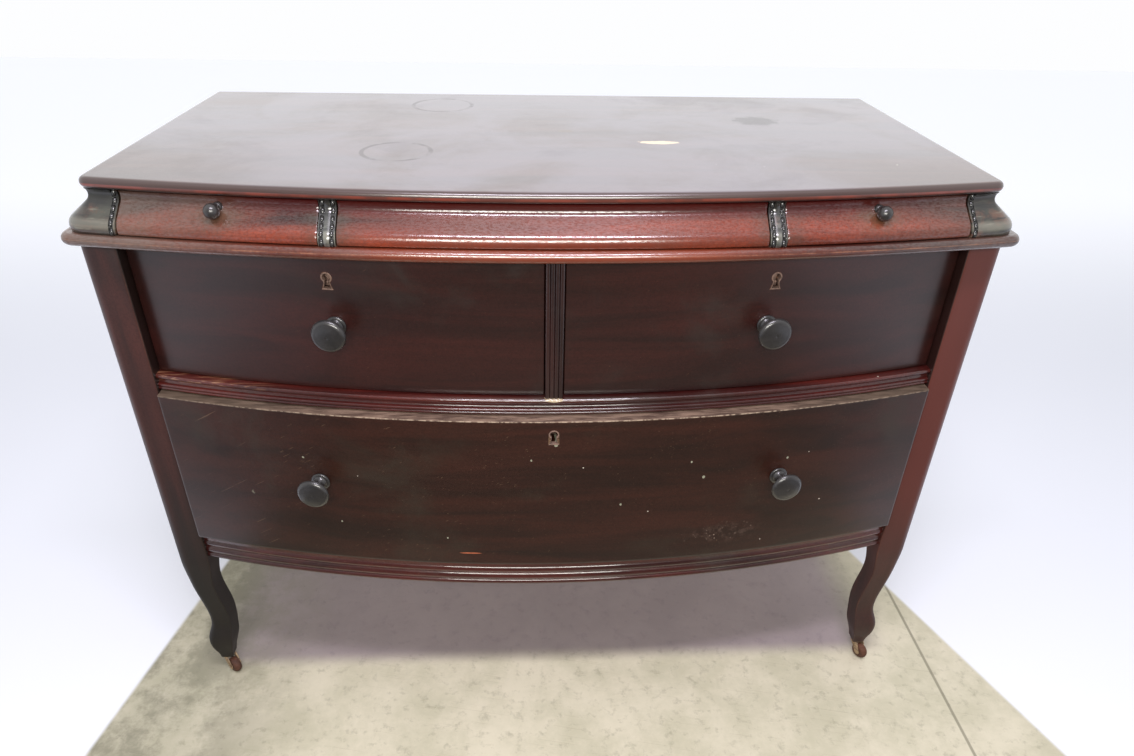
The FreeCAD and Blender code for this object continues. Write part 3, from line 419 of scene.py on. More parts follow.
def buildEdgeRub():
    tree, given, out = startEffect("edgeRub", Edge="Float", Reach="Float", Patch="Float")
    broad = noise(vectorCalc("DIVIDE", given["Position"], given["Patch"]))
    fine = noise(given["Position"], 0.55, 3.0, 0.65)
    wander = add(mul(broad, 1.5), mul(fine, 0.9))
    reach = mul(sub(wander, 0.95), given["Reach"])
    feed(out["Mask"], ramp(sub(reach, given["Edge"]), -0.25, 0.7))
    return tree


def buildSpecks():
    tree, given, out = startEffect("surfaceSpecks", Spacing="Float", Size="Float", Share="Float")
    cellPlace = scaled(given["Position"], calc("DIVIDE", 1.0, given["Spacing"]))
    cells = addNode("ShaderNodeTexVoronoi", {"Vector": cellPlace, "Scale": 1.0}).outputs
    draws = addNode("ShaderNodeSeparateColor", {0: cells["Color"]}).outputs
    size = mul(given["Size"], add(draws[1], 0.35))
    ragged = add(mul(cells["Distance"], given["Spacing"]), mul(noise(given["Position"], 0.9, 2.0), 0.8))
    spot = ramp(sub(sub(ragged, 0.4), size), 0.0, 0.35, 1.0, 0.0)
    feed(out["Mask"], mul(spot, calc("LESS_THAN", draws[0], given["Share"])))
    return tree


def buildScratches():
    tree, given, out = startEffect("fineScratches", Turn="Vector", Length="Float", Amount="Float")
    inputs = {"Vector": given["Position"], "Rotation": given["Turn"]}
    turned = addNode("ShaderNodeMapping", inputs).outputs[0]
    size = addNode("ShaderNodeCombineXYZ", {0: given["Length"], 1: 1.1, 2: 1.1}).outputs[0]
    lines = noise(vectorCalc("DIVIDE", turned, size), 1.0, 1.0, 0.4)
    limit = sub(0.86, mul(noise(given["Position"], 0.012, 2.0), given["Amount"]))
    feed(out["Mask"], ramp(sub(lines, limit), 0.0, 0.04))
    return tree


def buildClouds():
    tree, given, out = startEffect("hazeClouds", Size="Float", Low="Float", High="Float")
    haze = noise(scaled(given["Position"], calc("DIVIDE", 1.0, given["Size"])), 1.0, 5.0, 0.6, 0.4)
    feed(out["Mask"], ramp(haze, given["Low"], given["High"]))
    return tree


def buildRing():
    tree, given, out = startEffect("ringMark", Centre="Vector", Radius="Float", Width="Float")
    off = calc("ABSOLUTE", sub(vectorCalc("DISTANCE", given["Position"], given["Centre"]), given["Radius"]))
    band = ramp(off, mul(given["Width"], 0.3), given["Width"], 1.0, 0.0)
    feed(out["Mask"], mul(band, ramp(noise(given["Position"], 0.03, 3.0, 0.6), 0.36, 0.62)))
    return tree


effects = {"grain": buildGrain(), "edgeRub": buildEdgeRub(), "specks": buildSpecks(),
           "scratches": buildScratches(), "clouds": buildClouds(), "ring": buildRing()}
print("scene: effect groups built")


def masks(name, where, **values):
    return addNode("ShaderNodeGroup", {"Position": where, **values}, node_tree=effects[name]).outputs


def clouds(where, size, low, high):
    return masks("clouds", where, Size=size, Low=low, High=high)["Mask"]


def specks(where, spacing, size, share):
    return masks("specks", where, Spacing=spacing, Size=size, Share=share)["Mask"]


def scratches(where, turn, length, amount):
    return masks("scratches", where, Turn=turn, Length=length, Amount=amount)["Mask"]


def blot(where, centre, size, soft):
    # ragged patch: centre and half sizes in mm of the frame
    flat = vectorCalc("DIVIDE", vectorCalc("SUBTRACT", where, centre), size)
    ragged = add(vectorCalc("LENGTH", flat), mul(noise(where, 0.11, 4.0, 0.65), 0.9))
    return ramp(ragged, 1.45 - soft, 1.45, 1.0, 0.0)


# ---- marks that only one kind of piece shows, in mm of the frame

def topMarks(where, colour, rough, relief):
    # rings, stains and a chip in the veneer; a bluish bloom, part haze, part painted sheen, spares the front
    # corners
    x, y, z = axisValues(where)
    corner = mul(ramp(away(x), 260.0, 500.0), ramp(y, 20.0, -180.0))
    # painted sheen: a bluish haze that stands partly for light reflected from the room
    bloomAndSheen = mul(sub(1.0, corner), add(mul(clouds(where, 170.0, 0.3, 0.6), 0.35), 0.1))
    colour = tint(colour, bloomAndSheen, (126, 122, 136))
    topZ = carcass["topTop"]
    for ringX, ringY, radius in ((-169.0, 206.0, 47.0), (-205.0, -76.0, 45.0)):
        ring = masks("ring", where, Centre=(ringX, ringY, topZ), Radius=radius, Width=4.5)["Mask"]
        colour = tint(colour, ring, (34, 20, 16), 0.55)
        rough = add(rough, mul(ring, 0.2))
    stain = blot(where, (322.0, 115.0, topZ), (44.0, 34.0, 30.0), 0.5)
    colour = tint(colour, stain, (30, 22, 18), 0.6)
    rough = add(rough, mul(stain, 0.18))
    colour = tint(colour, blot(where, (23.0, 41.0, topZ), (12.0, 9.0, 9.0), 0.3), (84, 60, 40), 0.7)
    chip = blot(where, (152.0, -20.0, topZ), (30.0, 9.5, 9.0), 0.14)
    colour = tint(colour, chip, (226, 204, 172))
    # the moulded edge has lost its bloom: dark, with red wood showing along its lower half and painted shade
    # beneath
    worn = mul(ramp(z, 871.0, 869.5), ramp(z, 866.0, 867.5))
    worn = mul(worn, ramp(noise(where, 0.03, 4.0), 0.4, 0.6, 0.45, 1.0))
    wood = tint((58, 38, 34), worn, (128, 54, 38), 0.8)
    # painted shade on the underside of the nose
    wood = tint(wood, ramp(z, 866.2, 864.8), (22, 12, 11))
    colour = tint(colour, ramp(z, 876.9, 876.0), wood)
    return colour, add(rough, mul(chip, 0.5), clamp=True), sub(relief, mul(chip, 1.2))


def friezeMarks(where, colour, rough, relief):
    # red middle; painted shade in dark red on the neck; grey-green dirt beside the strips, round the knobs
    # and towards the ends
    x, y, z = axisValues(where)
    patch = clouds(where, 60.0, 0.25, 0.7)
    ends = add(ramp(x, -520.0, -300.0, 0.7, 0.0), ramp(x, 330.0, 540.0, 0.0, 0.35))
    dirt = mul(ends, add(mul(patch, 0.6), 0.4), clamp=True)
    middle = mul(ramp(away(x), 320.0, 120.0), ramp(z, 815.0, 817.0, 0.75, 0.3))
    colour = tint(colour, middle, (140, 62, 38), 0.75)
    fromStrip = away(away(x), friezeStrip["middle"])
    beside = mul(ramp(fromStrip, 42.0, 11.0, 0.0, 0.75), ramp(z, 815.0, 817.0))
    colour = tint(colour, mul(beside, patch), (52, 48, 38))
    for knobX in (-394.0, 394.0):
        halo = blot(where, (knobX, -240.0, 846.0), (46.0, 70.0, 24.0), 0.9)
        colour = tint(colour, halo, (78, 68, 50), 0.55)
    # painted shade: dark red on the neck under the top's overhang
    neck = mul(ramp(z, 843.0, 853.0, 0.0, 0.95), sub(1.0, dirt, clamp=True))
    colour = tint(tint(colour, neck, (66, 12, 11)), dirt, (96, 80, 70))
    return colour, add(rough, mul(dirt, 0.15)), relief


def blockMarks(where, colour, rough, relief):
    # red-brown wood shows through; painted shade darkens the neck and bead channels, painted highlight the
    # swelling
    x, y, z = axisValues(where)
    colour = tint(colour, clouds(where, 26.0, 0.5, 0.68), (104, 66, 48), 0.55)
    # random horizontal bands of painted highlight and painted shade
    paintedLightBands = stretchedNoise(where, (0.02, 0.02, 0.16), 4.0, 0.6)
    colour = tint(colour, ramp(paintedLightBands, 0.5, 0.4, 0.0, 0.75), (16, 16, 13))
    colour = tint(colour, ramp(paintedLightBands, 0.56, 0.68, 0.0, 0.5), (120, 118, 104))
    # painted shade on the neck
    colour = tint(colour, ramp(z, 839.0, 849.0, 0.0, 0.75), (18, 17, 15))
    # painted highlight on the swelling
    colour = tint(colour, ramp(away(z, 828.0), 7.0, 2.0, 0.0, 0.4), (136, 134, 122))
    # painted shade, near black, in the bead channels
    fromStrip = away(away(x), friezeStrip["middle"])
    cornerRow = carcass["blockInner"] + channel["cornerInset"]
    fromRows = calc("MINIMUM", away(fromStrip, channel["stripOffset"]), away(away(x), cornerRow))
    return tint(colour, ramp(fromRows, 2.6, 3.2, 1.0, 0.0), (16, 15, 14)), rough, relief


def postMarks(where, colour, rough, relief):
    # painted shade makes the posts darker towards the feet and nearly black on the inner faces; duller
    # towards the feet, redder on the right post
    x, y, z = axisValues(where)
    # painted shade towards the feet, deeper on the left post
    low = ramp(add(z, ramp(x, -100.0, 100.0, 0.0, 130.0)), 180.0, 560.0, 1.0, 0.0)
    colour = tint(colour, mul(ramp(x, -100.0, 100.0), sub(0.75, low), clamp=True), (98, 46, 38))
    # painted shade on the inner faces beside the drawers
    colour = tint(colour, mul(ramp(away(x), 535.4, 534.4), ramp(z, 300.0, 330.0)), (20, 12, 11), 0.85)
    colour = tint(colour, mul(low, ramp(x, -300.0, 300.0, 0.95, 0.3)), (20, 17, 13))
    return colour, add(rough, mul(low, 0.2)), relief


def railMarks(where, colour, rough, relief):
    # glue and bare wood where the upright divider meets the rail, and a rubbed left end
    x, y, z = axisValues(where)
    glue = blot(where, (0.0, -266.0, carcass["midRailTop"]), (13.0, 14.0, 3.2), 0.2)
    colour = tint(colour, glue, (168, 152, 126))
    bare = ramp(stretchedNoise(where, (0.02, 0.3, 0.3)), 0.5, 0.62)
    bare = mul(mul(bare, ramp(x, -470.0, -330.0, 0.75, 0.0)), ramp(z, 594.0, 602.0))
    return tint(colour, bare, (140, 100, 74)), add(rough, mul(glue, 0.4), clamp=True), relief


paintDabs = (
    (-424.0, -190.0, 437.0, 5.0), (-340.0, -210.0, 509.0, 2.5), (210.0, -240.0, 480.0, 2.5),
    (-300.0, -220.0, 400.0, 2.0), (95.0, -258.0, 440.0, 1.8), (3.0, -275.0, 545.5, 2.6),
    (-30.0, -262.0, 520.0, 1.6), (330.0, -215.0, 500.0, 2.2), (190.0, -245.0, 508.0, 1.7),
    (-150.0, -250.0, 380.0, 1.6),
)


def lowerFrontMarks(where, colour, rough, relief):
    # dusty upper arris, a pale rub near the lower right knob, a long scratch and a few dabs of paint
    x, y, z = axisValues(where)
    dust = ramp(add(z, mul(noise(where, 0.05), 2.5)), 581.6, 583.4)
    worn = ramp(stretchedNoise(where, (0.03, 0.2, 0.2), 4.0, 0.6), 0.35, 0.65)
    dusty = blend(worn, (74, 56, 48), (128, 106, 92))
    dusty = tint(dusty, ramp(away(x), 200.0, 480.0, 0.0, 0.6), (66, 58, 46))
    colour = tint(colour, dust, dusty, 0.9)
    broken = ramp(stretchedNoise(where, (0.12, 0.0, 0.0), 4.0), 0.42, 0.56)
    arris = mul(ramp(away(z, 581.9), 0.4, 1.0, 0.8, 0.0), broken)
    colour = tint(colour, mul(arris, ramp(away(x), 200.0, 480.0, 1.0, 0.4)), (176, 156, 136))
    rub = blot(where, (249.0, -240.0, 373.0), (80.0, 60.0, 26.0), 0.9)
    haze = mul(rub, ramp(noise(where, 0.09, 4.0, 0.65), 0.45, 0.62, 0.0, 0.35))
    colour = tint(colour, haze, (122, 98, 88))
    colour = tint(colour, mul(rub, specks(where, 5.5, 0.9, 0.55)), (158, 138, 124))
    colour = tint(colour, blot(where, (-118.0, -256.0, 352.0), (24.0, 30.0, 1.6), 0.2), (172, 96, 66))
    for *centre, size in paintDabs:
        colour = tint(colour, blot(where, centre, (size, 60.0, size * 1.3), 0.25), (160, 160, 140), 0.8)
    return colour, add(rough, mul(dust, 0.3), clamp=True), relief


# ---- finishes

grainAlong = {
    "x": {"Figure": (420.0, 38.0, 38.0), "Streak": (150.0, 1.9, 1.9), "Pore": (8.0, 0.45, 0.45)},
    "z": {"Figure": (38.0, 38.0, 420.0), "Streak": (1.9, 1.9, 150.0), "Pore": (0.45, 0.45, 8.0)},
    "y": {"Figure": (38.0, 420.0, 38.0), "Streak": (1.9, 150.0, 1.9), "Pore": (0.45, 8.0, 0.45)},
}


def startMaterial(name):
    material = bpy.data.materials.new(name)
    material.use_nodes = True
    now["tree"] = material.node_tree
    where = scaled(addNode("ShaderNodeTexCoord").outputs["Object"], 1000.0)
    return material, material.node_tree.nodes["Principled BSDF"], where


def attribute(name):
    return addNode("ShaderNodeAttribute", attribute_name=name).outputs["Fac"]


# paints: deep and warm wood, worn edges, grime; coat: weight, roughness, IOR; grime: size, low, high;
# fades: the coat thins from the second height to the first, down to a share
polishLook = {
    "paints": ((40, 16, 14), (78, 32, 24), (150, 104, 74), (44, 38, 32)), "grain": "x", "roughness": 0.3,
    "coat": (0.6, 0.16, 1.5), "specular": 0.45, "rubReach": 1.6, "rubPatch": 60.0,
    "grime": (140.0, 0.5, 0.75), "streakDepth": 0.35, "specks": 0.05, "crestWarm": 0.0, "scratches": 0.16,
    "flecks": 0.5, "fades": None, "breaks": 0.0, "marks": None,
}
polishBump = {"strength": 0.25, "distance": 0.0003}
speckPaint = (206, 196, 182)


def polishedWood(name, **changes):
    # marks adds what only one piece shows: it takes and returns colour, roughness and relief
    look = dict(polishLook, **changes)
    deep, warm, worn, dirt = look["paints"]
    material, shader, where = startMaterial(name)
    grain = masks("grain", where, **grainAlong[look["grain"]])
    grime = clouds(where, *look["grime"])
    rub = masks("edgeRub", where, Edge=attribute("edge"), Reach=look["rubReach"],
                Patch=look["rubPatch"])["Mask"]
    lines = scratches(where, (0.3, 0.5, 0.35), 70.0, look["scratches"])
    warmth = mul(grain["Figure"], 0.75)
    if look["crestWarm"]:
        warmth = add(warmth, mul(ramp(attribute("crest"), 0.25, 0.95), look["crestWarm"]), clamp=True)
    colour = blend(warmth, deep, warm)
    darker = blend(1.0, colour, (0.55, 0.5, 0.5, 1.0), "MULTIPLY")
    flecks = ramp(noise(where, 0.3, 4.0, 0.75), 0.45, 0.6)
    crumbs = specks(where, 30.0, 0.7, look["specks"])
    for mask, share, over in ((grain["Streaks"], look["streakDepth"], darker), (grain["Pores"], 0.5, darker),
                              (flecks, look["flecks"], darker), (grime, 0.65, dirt), (rub, 0.85, worn),
                              (lines, 0.3, worn), (crumbs, 1.0, speckPaint)):
        colour = tint(colour, mask, over, share)
    rough = add(look["roughness"], mul(grain["Pores"], 0.12))
    rough = add(add(rough, mul(grime, 0.18)), mul(rub, 0.25), clamp=True)
    relief = sub(mul(grain["Pores"], -0.4), mul(lines, 0.6))
    relief = add(relief, mul(noise(where, 0.08), 0.9))
    if look["marks"]:
        colour, rough, relief = look["marks"](where, colour, rough, relief)
    gloss, coatRoughness, coatIor = look["coat"]
    if look["fades"]:
        gloss = mul(ramp(axisValues(where)[2], *look["fades"], 1.0), gloss)
    if look["breaks"]:
        # open grain breaks the polish in fine flecks
        pits = stretchedNoise(where, (0.22, 0.6, 0.6), 4.0, 0.75)
        gloss = mul(ramp(pits, 0.47, 0.58, 1.0, 1.0 - look["breaks"]), gloss)
    feedAll(shader, {"Base Color": colour, "Roughness": rough, "Coat Weight": gloss, "Coat IOR": coatIor,
                     "Coat Roughness": coatRoughness, "Specular IOR Level": look["specular"]})
    addBump(shader, relief, **polishBump)
    return material


def plainWood(name, pale, dark, grain="x"):
    material, shader, where = startMaterial(name)
    parts = masks("grain", where, **grainAlong[grain])
    colour = blend(parts["Figure"], pale, dark)
    dull = blend(1.0, colour, (0.6, 0.55, 0.5, 1.0), "MULTIPLY")
    colour = tint(colour, parts["Streaks"], dull, 0.4)
    colour = tint(colour, clouds(where, 110.0, 0.45, 0.75), dull, 0.5)
    feedAll(shader, {"Base Color": colour, "Roughness": add(0.66, mul(parts["Streaks"], 0.15))})
    addBump(shader, parts["Streaks"], 0.3, 0.0004)
    return material


def agedMetal(name, bright, dull, metallic, roughness):
    material, shader, where = startMaterial(name)
    tarnish = clouds(where, 9.0, 0.38, 0.66)
    pits = specks(where, 3.0, 0.3, 0.4)
    colour = tint(blend(tarnish, bright, dull), pits, (30, 25, 20), 0.5)
    feedAll(shader, {"Base Color": colour, "Metallic": sub(metallic, mul(tarnish, 0.4)),
                     "Roughness": add(roughness, mul(tarnish, 0.25))})
    addBump(shader, sub(noise(where, 0.7, 4.0), pits), 0.25, 0.0002)
    return material


polishes = {
    "top": dict(marks=topMarks, paints=((62, 38, 32), (92, 58, 48), (150, 92, 66), (84, 72, 66)),
                flecks=0.14, roughness=0.36, coat=(1.0, 0.2, 1.6), specular=0.5, rubReach=0.9, specks=0.04,
                scratches=0.2),
    "frieze": dict(marks=friezeMarks, paints=((38, 13, 11), (132, 56, 36), (170, 120, 86), (66, 50, 40)),
                   crestWarm=0.45, coat=(1.0, 0.18, 1.8), roughness=0.4, specular=0.2, streakDepth=0.6,
                   flecks=0.75, breaks=0.75, rubReach=0.7, specks=0.03),
    "ebonised": dict(marks=blockMarks, paints=((32, 32, 27), (66, 48, 40), (128, 84, 58), (70, 72, 61)),
                     grime=(34.0, 0.4, 0.66), crestWarm=0.4, coat=(1.0, 0.15, 1.6), specular=0.25,
                     rubReach=0.4),
    "strip": dict(marks=blockMarks, paints=((62, 64, 62), (96, 92, 88), (128, 96, 76), (92, 98, 86)),
                  grime=(22.0, 0.4, 0.7), coat=(1.0, 0.2, 1.8), rubReach=0.4),
    "bead": dict(paints=((16, 16, 15), (26, 23, 21), (90, 64, 48), (30, 30, 27)), coat=(1.0, 0.1, 1.6),
                 rubReach=0.3, roughness=0.45),
    "waist": dict(marks=friezeMarks, paints=((56, 24, 20), (116, 54, 36), (160, 108, 80), (62, 50, 42)),
                  coat=(1.0, 0.17, 1.8), flecks=0.8, streakDepth=0.6, breaks=0.75, rubReach=0.8,
                  rubPatch=30.0),
    "rail": dict(marks=railMarks, paints=((50, 16, 15), (96, 36, 30), (170, 124, 92), (60, 48, 44)),
                 coat=(1.0, 0.1, 1.6), specular=0.3, rubReach=0.8, rubPatch=45.0, breaks=0.5),
    "divider": dict(paints=((34, 20, 19), (60, 32, 28), (130, 92, 70), (48, 38, 34)), grain="z",
                    coat=(0.6, 0.2, 1.5), rubReach=0.9, rubPatch=30.0),
    "post": dict(marks=postMarks, paints=((48, 28, 26), (82, 44, 38), (128, 84, 64), (58, 47, 42)),
                 grain="z", rubReach=0.8, coat=(0.4, 0.24, 1.5), roughness=0.42, specular=0.4,
                 fades=(240.0, 600.0, 0.3)),
    "upperFront": dict(paints=((38, 18, 16), (60, 26, 22), (120, 84, 62), (40, 32, 28)), rubReach=1.0,
                       specks=0.06, coat=(0.7, 0.26, 1.5), specular=0.4),
    "lowerFront": dict(marks=lowerFrontMarks,
                       paints=((38, 22, 17), (62, 32, 24), (140, 112, 86), (46, 38, 29)),
                       rubReach=1.2, specks=0.55, scratches=0.22, coat=(0.25, 0.28, 1.5), specular=0.35),
    "knob": dict(paints=((32, 31, 32), (46, 43, 43), (110, 96, 88), (54, 54, 53)), grain="y",
                 coat=(0.8, 0.2, 1.5), roughness=0.4, rubReach=0.6, rubPatch=14.0),
    "carcass": dict(paints=((52, 24, 20), (84, 38, 30), (150, 104, 74), (52, 42, 36)), rubReach=0.0,
                    coat=(0.3, 0.16, 1.5), roughness=0.42),
}
polishes["upright"] = dict(polishes["carcass"], grain="z")
finishes = {name: polishedWood(name + "Polish", **look) for name, look in polishes.items()}
finishes.update({
    "insideX": plainWood("insideBoardLong", (178, 138, 96), (136, 98, 64)),
    "insideY": plainWood("insideBoardDeep", (184, 146, 102), (142, 104, 68), "y"),
    "backBoard": plainWood("backBoard", (146, 110, 76), (104, 76, 52)),
    "brass": agedMetal("agedBrass", (142, 116, 104), (100, 80, 72), 0.45, 0.55),
    "steel": agedMetal("boltSteel", (140, 138, 134), (84, 78, 72), 1.0, 0.38),
    "iron": agedMetal("casterIron", (176, 152, 122), (98, 78, 60), 0.55, 0.5),
    "wheel": plainWood("wheelWood", (104, 62, 42), (62, 38, 28)),
})
print("scene: finishes built")


def settle(obj, body, finish, *nodes):
    obj.data.materials.clear()
    obj.data.materials.append(finishes[finish])
    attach(obj, body)
    if nodes:
        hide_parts(*nodes)


# ---- geometry node trees

def startGeometry(name, inputs):
    return startTree(name, "GeometryNodeTree", {"Geometry": "Geometry", **inputs, "Material": "Material"},
                     {"Geometry": "Geometry"})


def endGeometry(given, out, geometry):
    whole = addNode("GeometryNodeRealizeInstances", {"Geometry": geometry}).outputs[0]
    dressed = addNode("GeometryNodeSetMaterial", {"Geometry": whole, "Material": given["Material"]})
    feed(out["Geometry"], dressed.outputs[0])


def buildMouldedRun():
    # a section swept round a bow struck from the middle line
    tree, given, out = startGeometry("mouldedRun", {"Bow Radius": "Float", "Half Angle": "Float",
                                                    "Steps": "Int", "Section": "Object", "Shift": "Vector"})
    arc = addNode("GeometryNodeCurveArc", {"Radius": given["Bow Radius"], "Resolution": given["Steps"],
                                           "Start Angle": sub(-math.pi / 2, given["Half Angle"]),
                                           "Sweep Angle": mul(given["Half Angle"], 2.0)}, mode="RADIUS")
    section = addNode("GeometryNodeObjectInfo", {"Object": given["Section"]}).outputs["Geometry"]
    sweep = addNode("GeometryNodeCurveToMesh", {"Curve": arc.outputs["Curve"], "Profile Curve": section,
                                                "Fill Caps": True}).outputs[0]
    moved = addNode("GeometryNodeTransform", {"Geometry": sweep, "Translation": given["Shift"]})
    endGeometry(given, out, moved.outputs[0])
    return tree


def buildBeadRow():
    # carved beads along a curve, each a little different
    tree, given, out = startGeometry("beadRow", {"Count": "Int", "Radius": "Float", "Stretch": "Float",
                                                 "Seed": "Int"})
    inputs = {"Curve": given["Geometry"], "Count": given["Count"]}
    spaced = addNode("GeometryNodeResampleCurve", inputs, mode="COUNT")
    bead = addNode("GeometryNodeMeshUVSphere", {"Segments": 14, "Rings": 9, "Radius": given["Radius"]})
    soft = addNode("GeometryNodeSetShadeSmooth", {"Geometry": bead.outputs["Mesh"]}).outputs[0]
    tangent = addNode("GeometryNodeInputTangent").outputs[0]
    turn = addNode("FunctionNodeAlignRotationToVector", {"Vector": tangent}, axis="Z").outputs[0]
    draw = addNode("FunctionNodeRandomValue", {2: 0.88, 3: 1.08, "Seed": given["Seed"]}, data_type="FLOAT")
    vary = draw.outputs[1]
    size = addNode("ShaderNodeCombineXYZ", {0: vary, 1: vary, 2: mul(vary, given["Stretch"])}).outputs[0]
    copies = addNode("GeometryNodeInstanceOnPoints", {"Points": spaced.outputs[0], "Instance": soft,
                                                      "Rotation": turn, "Scale": size})
    endGeometry(given, out, copies.outputs[0])
    return tree


def runTree(name, source, tree, values):
    # evaluates the tree on a holder object and keeps the plain mesh
    holder = addObject(name + "Holder", source)
    modifier = holder.modifiers.new("tree", "NODES")
    modifier.node_group = tree
    sockets = {item.name: item.identifier for item in tree.interface.items_tree if item.in_out == "INPUT"}
    for key, value in values.items():
        modifier[sockets[key]] = value
    mesh = bakeModifiers(holder)
    mesh.name = name
    return mesh


def addPolyline(curve, points, closed=False):
    spline = curve.splines.new("POLY")
    spline.points.add(len(points) - 1)
    for point, place in zip(spline.points, points):
        point.co = (*place, 1.0)
    spline.use_cyclic_u = closed


def newCurve(name):
    curve = bpy.data.curves.new(name, "CURVE")
    curve.dimensions = "3D"
    return curve


mouldedRun = buildMouldedRun()
beadRow = buildBeadRow()


# ---- top board

topBoard = {"noseRadius": 7.0, "backY": 492.0, "flat": 6.5, "rim": 2.0, "steps": 26}


def halfRound(radius, middle, crown, wear):
    # half round nose from top to underside; the edge distance grows by wear away from the crown's step
    steps = 12
    angles = [math.pi / 2 - math.pi * i / steps for i in range(steps + 1)]
    return [(radius * math.cos(a), middle + radius * math.sin(a), abs(i - crown) * wear, a)
            for i, a in enumerate(angles)]


def makeTopBoard():
    r, flat, rim = (topBoard[k] for k in ("noseRadius", "flat", "rim"))
    middle = carcass["topTop"] - r
    chain = [(-flat, middle + r, 14.0, 0.0), (-rim, middle + r, 7.0, 0.0)]
    chain += [(reach, z, edge, 1.0) for reach, z, edge, a in halfRound(r, middle, 3, 1.0)]
    chain += [(-rim, middle - r, 10.0, 0.0)]
    stations = bothWays(returnStations(topBow, 0.0, topBoard["backY"], topBoard["steps"]))
    settle(mouldedSlab("topBoard", stations, chain), "carcass", "top", "top_board")


makeTopBoard()


# ---- ogee frieze

ogee = {"bulge": 28.5, "height": 47.5, "hollow": 10.0, "hollowDrop": 7.1, "swell": 14.0, "swellRise": 5.7,
        "steps": 10, "ease": 0.5, "arris": 0.6, "snap": 0.4, "frontWood": 14.0, "sideWood": 20.0, "gap": 1.5,
        "blockBack": 45.0, "blockReturn": 12.0, "bandWood": 3.0}
friezeSpans = {"left": (-513.0, -275.5, 8), "centre": (-252.5, 252.5, 14), "right": (275.5, 513.0, 8)}


def ogeeLine():
    # foot to head: the swelling above the waist, a slope, then the hollow at the neck
    hollow, swell, steps = ogee["hollow"], ogee["swell"], ogee["steps"]
    hollowZ, swellX = ogee["height"] - ogee["hollowDrop"], ogee["bulge"] - swell
    drop = hollowZ - ogee["swellRise"]
    apart = math.hypot(swellX - hollow, drop)
    slope = math.atan2(drop, swellX - hollow) - math.asin((hollow + swell) / apart)
    lean = math.pi / 2 - slope
    foot = -math.asin(ogee["swellRise"] / swell)
    head = -math.asin(ogee["hollowDrop"] / hollow)
    z0 = carcass["waistTop"]
    line = []
    for start, end, sign, x, z, radius in ((foot, lean, 1, swellX, ogee["swellRise"], swell),
                                           (lean, head, -1, hollow, hollowZ, hollow)):
        for i in range(steps + 1):
            a = start + (end - start) * i / steps
            line.append((x + sign * radius * math.cos(a), z0 + z + sign * radius * math.sin(a)))
    return line


def ogeeLoop(low, high, wood):
    # closed section between two heights, its two arrises eased
    line, span = ogeeLine(), ogee["bulge"]
    ease, arris, snap = ogee["ease"], ogee["arris"], ogee["snap"]
    first = ([p for p in line if p[1] <= low + snap] or line[:1])[-1][0]
    last = ([p for p in line if p[1] >= high - snap] or line[-1:])[0][0]
    kept = [p for p in line if low + snap < p[1] < high - snap]
    kept = [(first - arris, low), (first, low + ease), *kept, (last, high - ease), (last - arris, high)]
    loop = [(reach, z, min(z - low, high - z) + 0.2, max(0.0, min(1.0, reach / span))) for reach, z in kept]
    return loop + [(-wood, high, 20.0, 0.0), (-wood, low, 20.0, 0.0)]


def carvedStations(x0, plan, under):
    # planes across the frieze from x0; the plan lowers or raises the face, down to a depth under it
    def carved(x, up):
        return lambda reach: bowPoint(friezeBow, reach + (up if reach > -under else 0.0), x)
    return [carved(x0 + dx, up) for dx, up in plan]


def spacedBetween(x0, x1, steps, soft=0.8, margin=3.0):
    span = x1 - x0 - 2 * margin
    inner = [x0 + soft, x0 + margin] + [x0 + margin + span * i / steps for i in range(1, steps)]
    return [x0] + inner + [x1 - margin, x1 - soft, x1]


def makeFriezeFronts():
    low, high = carcass["waistTop"] + ogee["gap"], carcass["topUnder"] - ogee["gap"]
    loop = ogeeLoop(low, high, ogee["frontWood"])
    for side, (x0, x1, steps) in friezeSpans.items():
        stations = bowStations(drawerBow, spacedBetween(x0, x1, steps))
        obj = sweptLoop("friezeFront" + side.capitalize(), stations, loop, 0.5)
        settle(obj, "frieze_drawer_" + side, "frieze", "frieze_drawer_" + side + "_front")


def makeFriezeEnds():
    # corner blocks run from the last drawer round the corner, and the side boards on to the back
    low, high = carcass["waistTop"], carcass["topUnder"]
    back, wood, start = ogee["blockBack"], ogee["bandWood"], carcass["blockInner"]
    inside, outside = (channel["cornerInset"] + sign * channel["width"] / 2 for sign in (-1, 1))
    wall, depth = channel["wall"], channel["depth"]
    plan = [(0.0, 0.0), (inside - wall, 0.0), (inside, -depth), (outside, -depth), (outside + wall, 0.0)]
    stations = carvedStations(start, plan, channel["under"])
    stations += returnStations(friezeBow, start + ogee["blockReturn"], back, 8, 14, 5)
    loop = ogeeLoop(low, high, wood)
    inner = [station(-wood) for station in stations] + [(start, back)]
    ys = (back, back + 1, *carcass["sideSteps"], carcass["caseBack"] - 1, carcass["caseBack"])
    boardStations, boardLoop = sideStations(friezeBow, ys), ogeeLoop(low, high, ogee["sideWood"])
    for side, sign in sides.items():
        band = sweptLoop("cornerBand", stations, loop, 0.4, sign < 0)
        core = uprightPrism("cornerCore", inner, low, high)
        if sign < 0:
            core.data.transform(Matrix.Scale(-1, 4, (1, 0, 0)))
            core.data.flip_normals()
        block = joinPieces("cornerBlock" + side.capitalize(), [band, core])
        settle(block, "carcass", "ebonised", "corner_block_" + side)
        board = sweptLoop("friezeSide" + side.capitalize(), boardStations, boardLoop, 0.3, sign < 0)
        settle(board, "carcass", "frieze", "frieze_side_" + side)


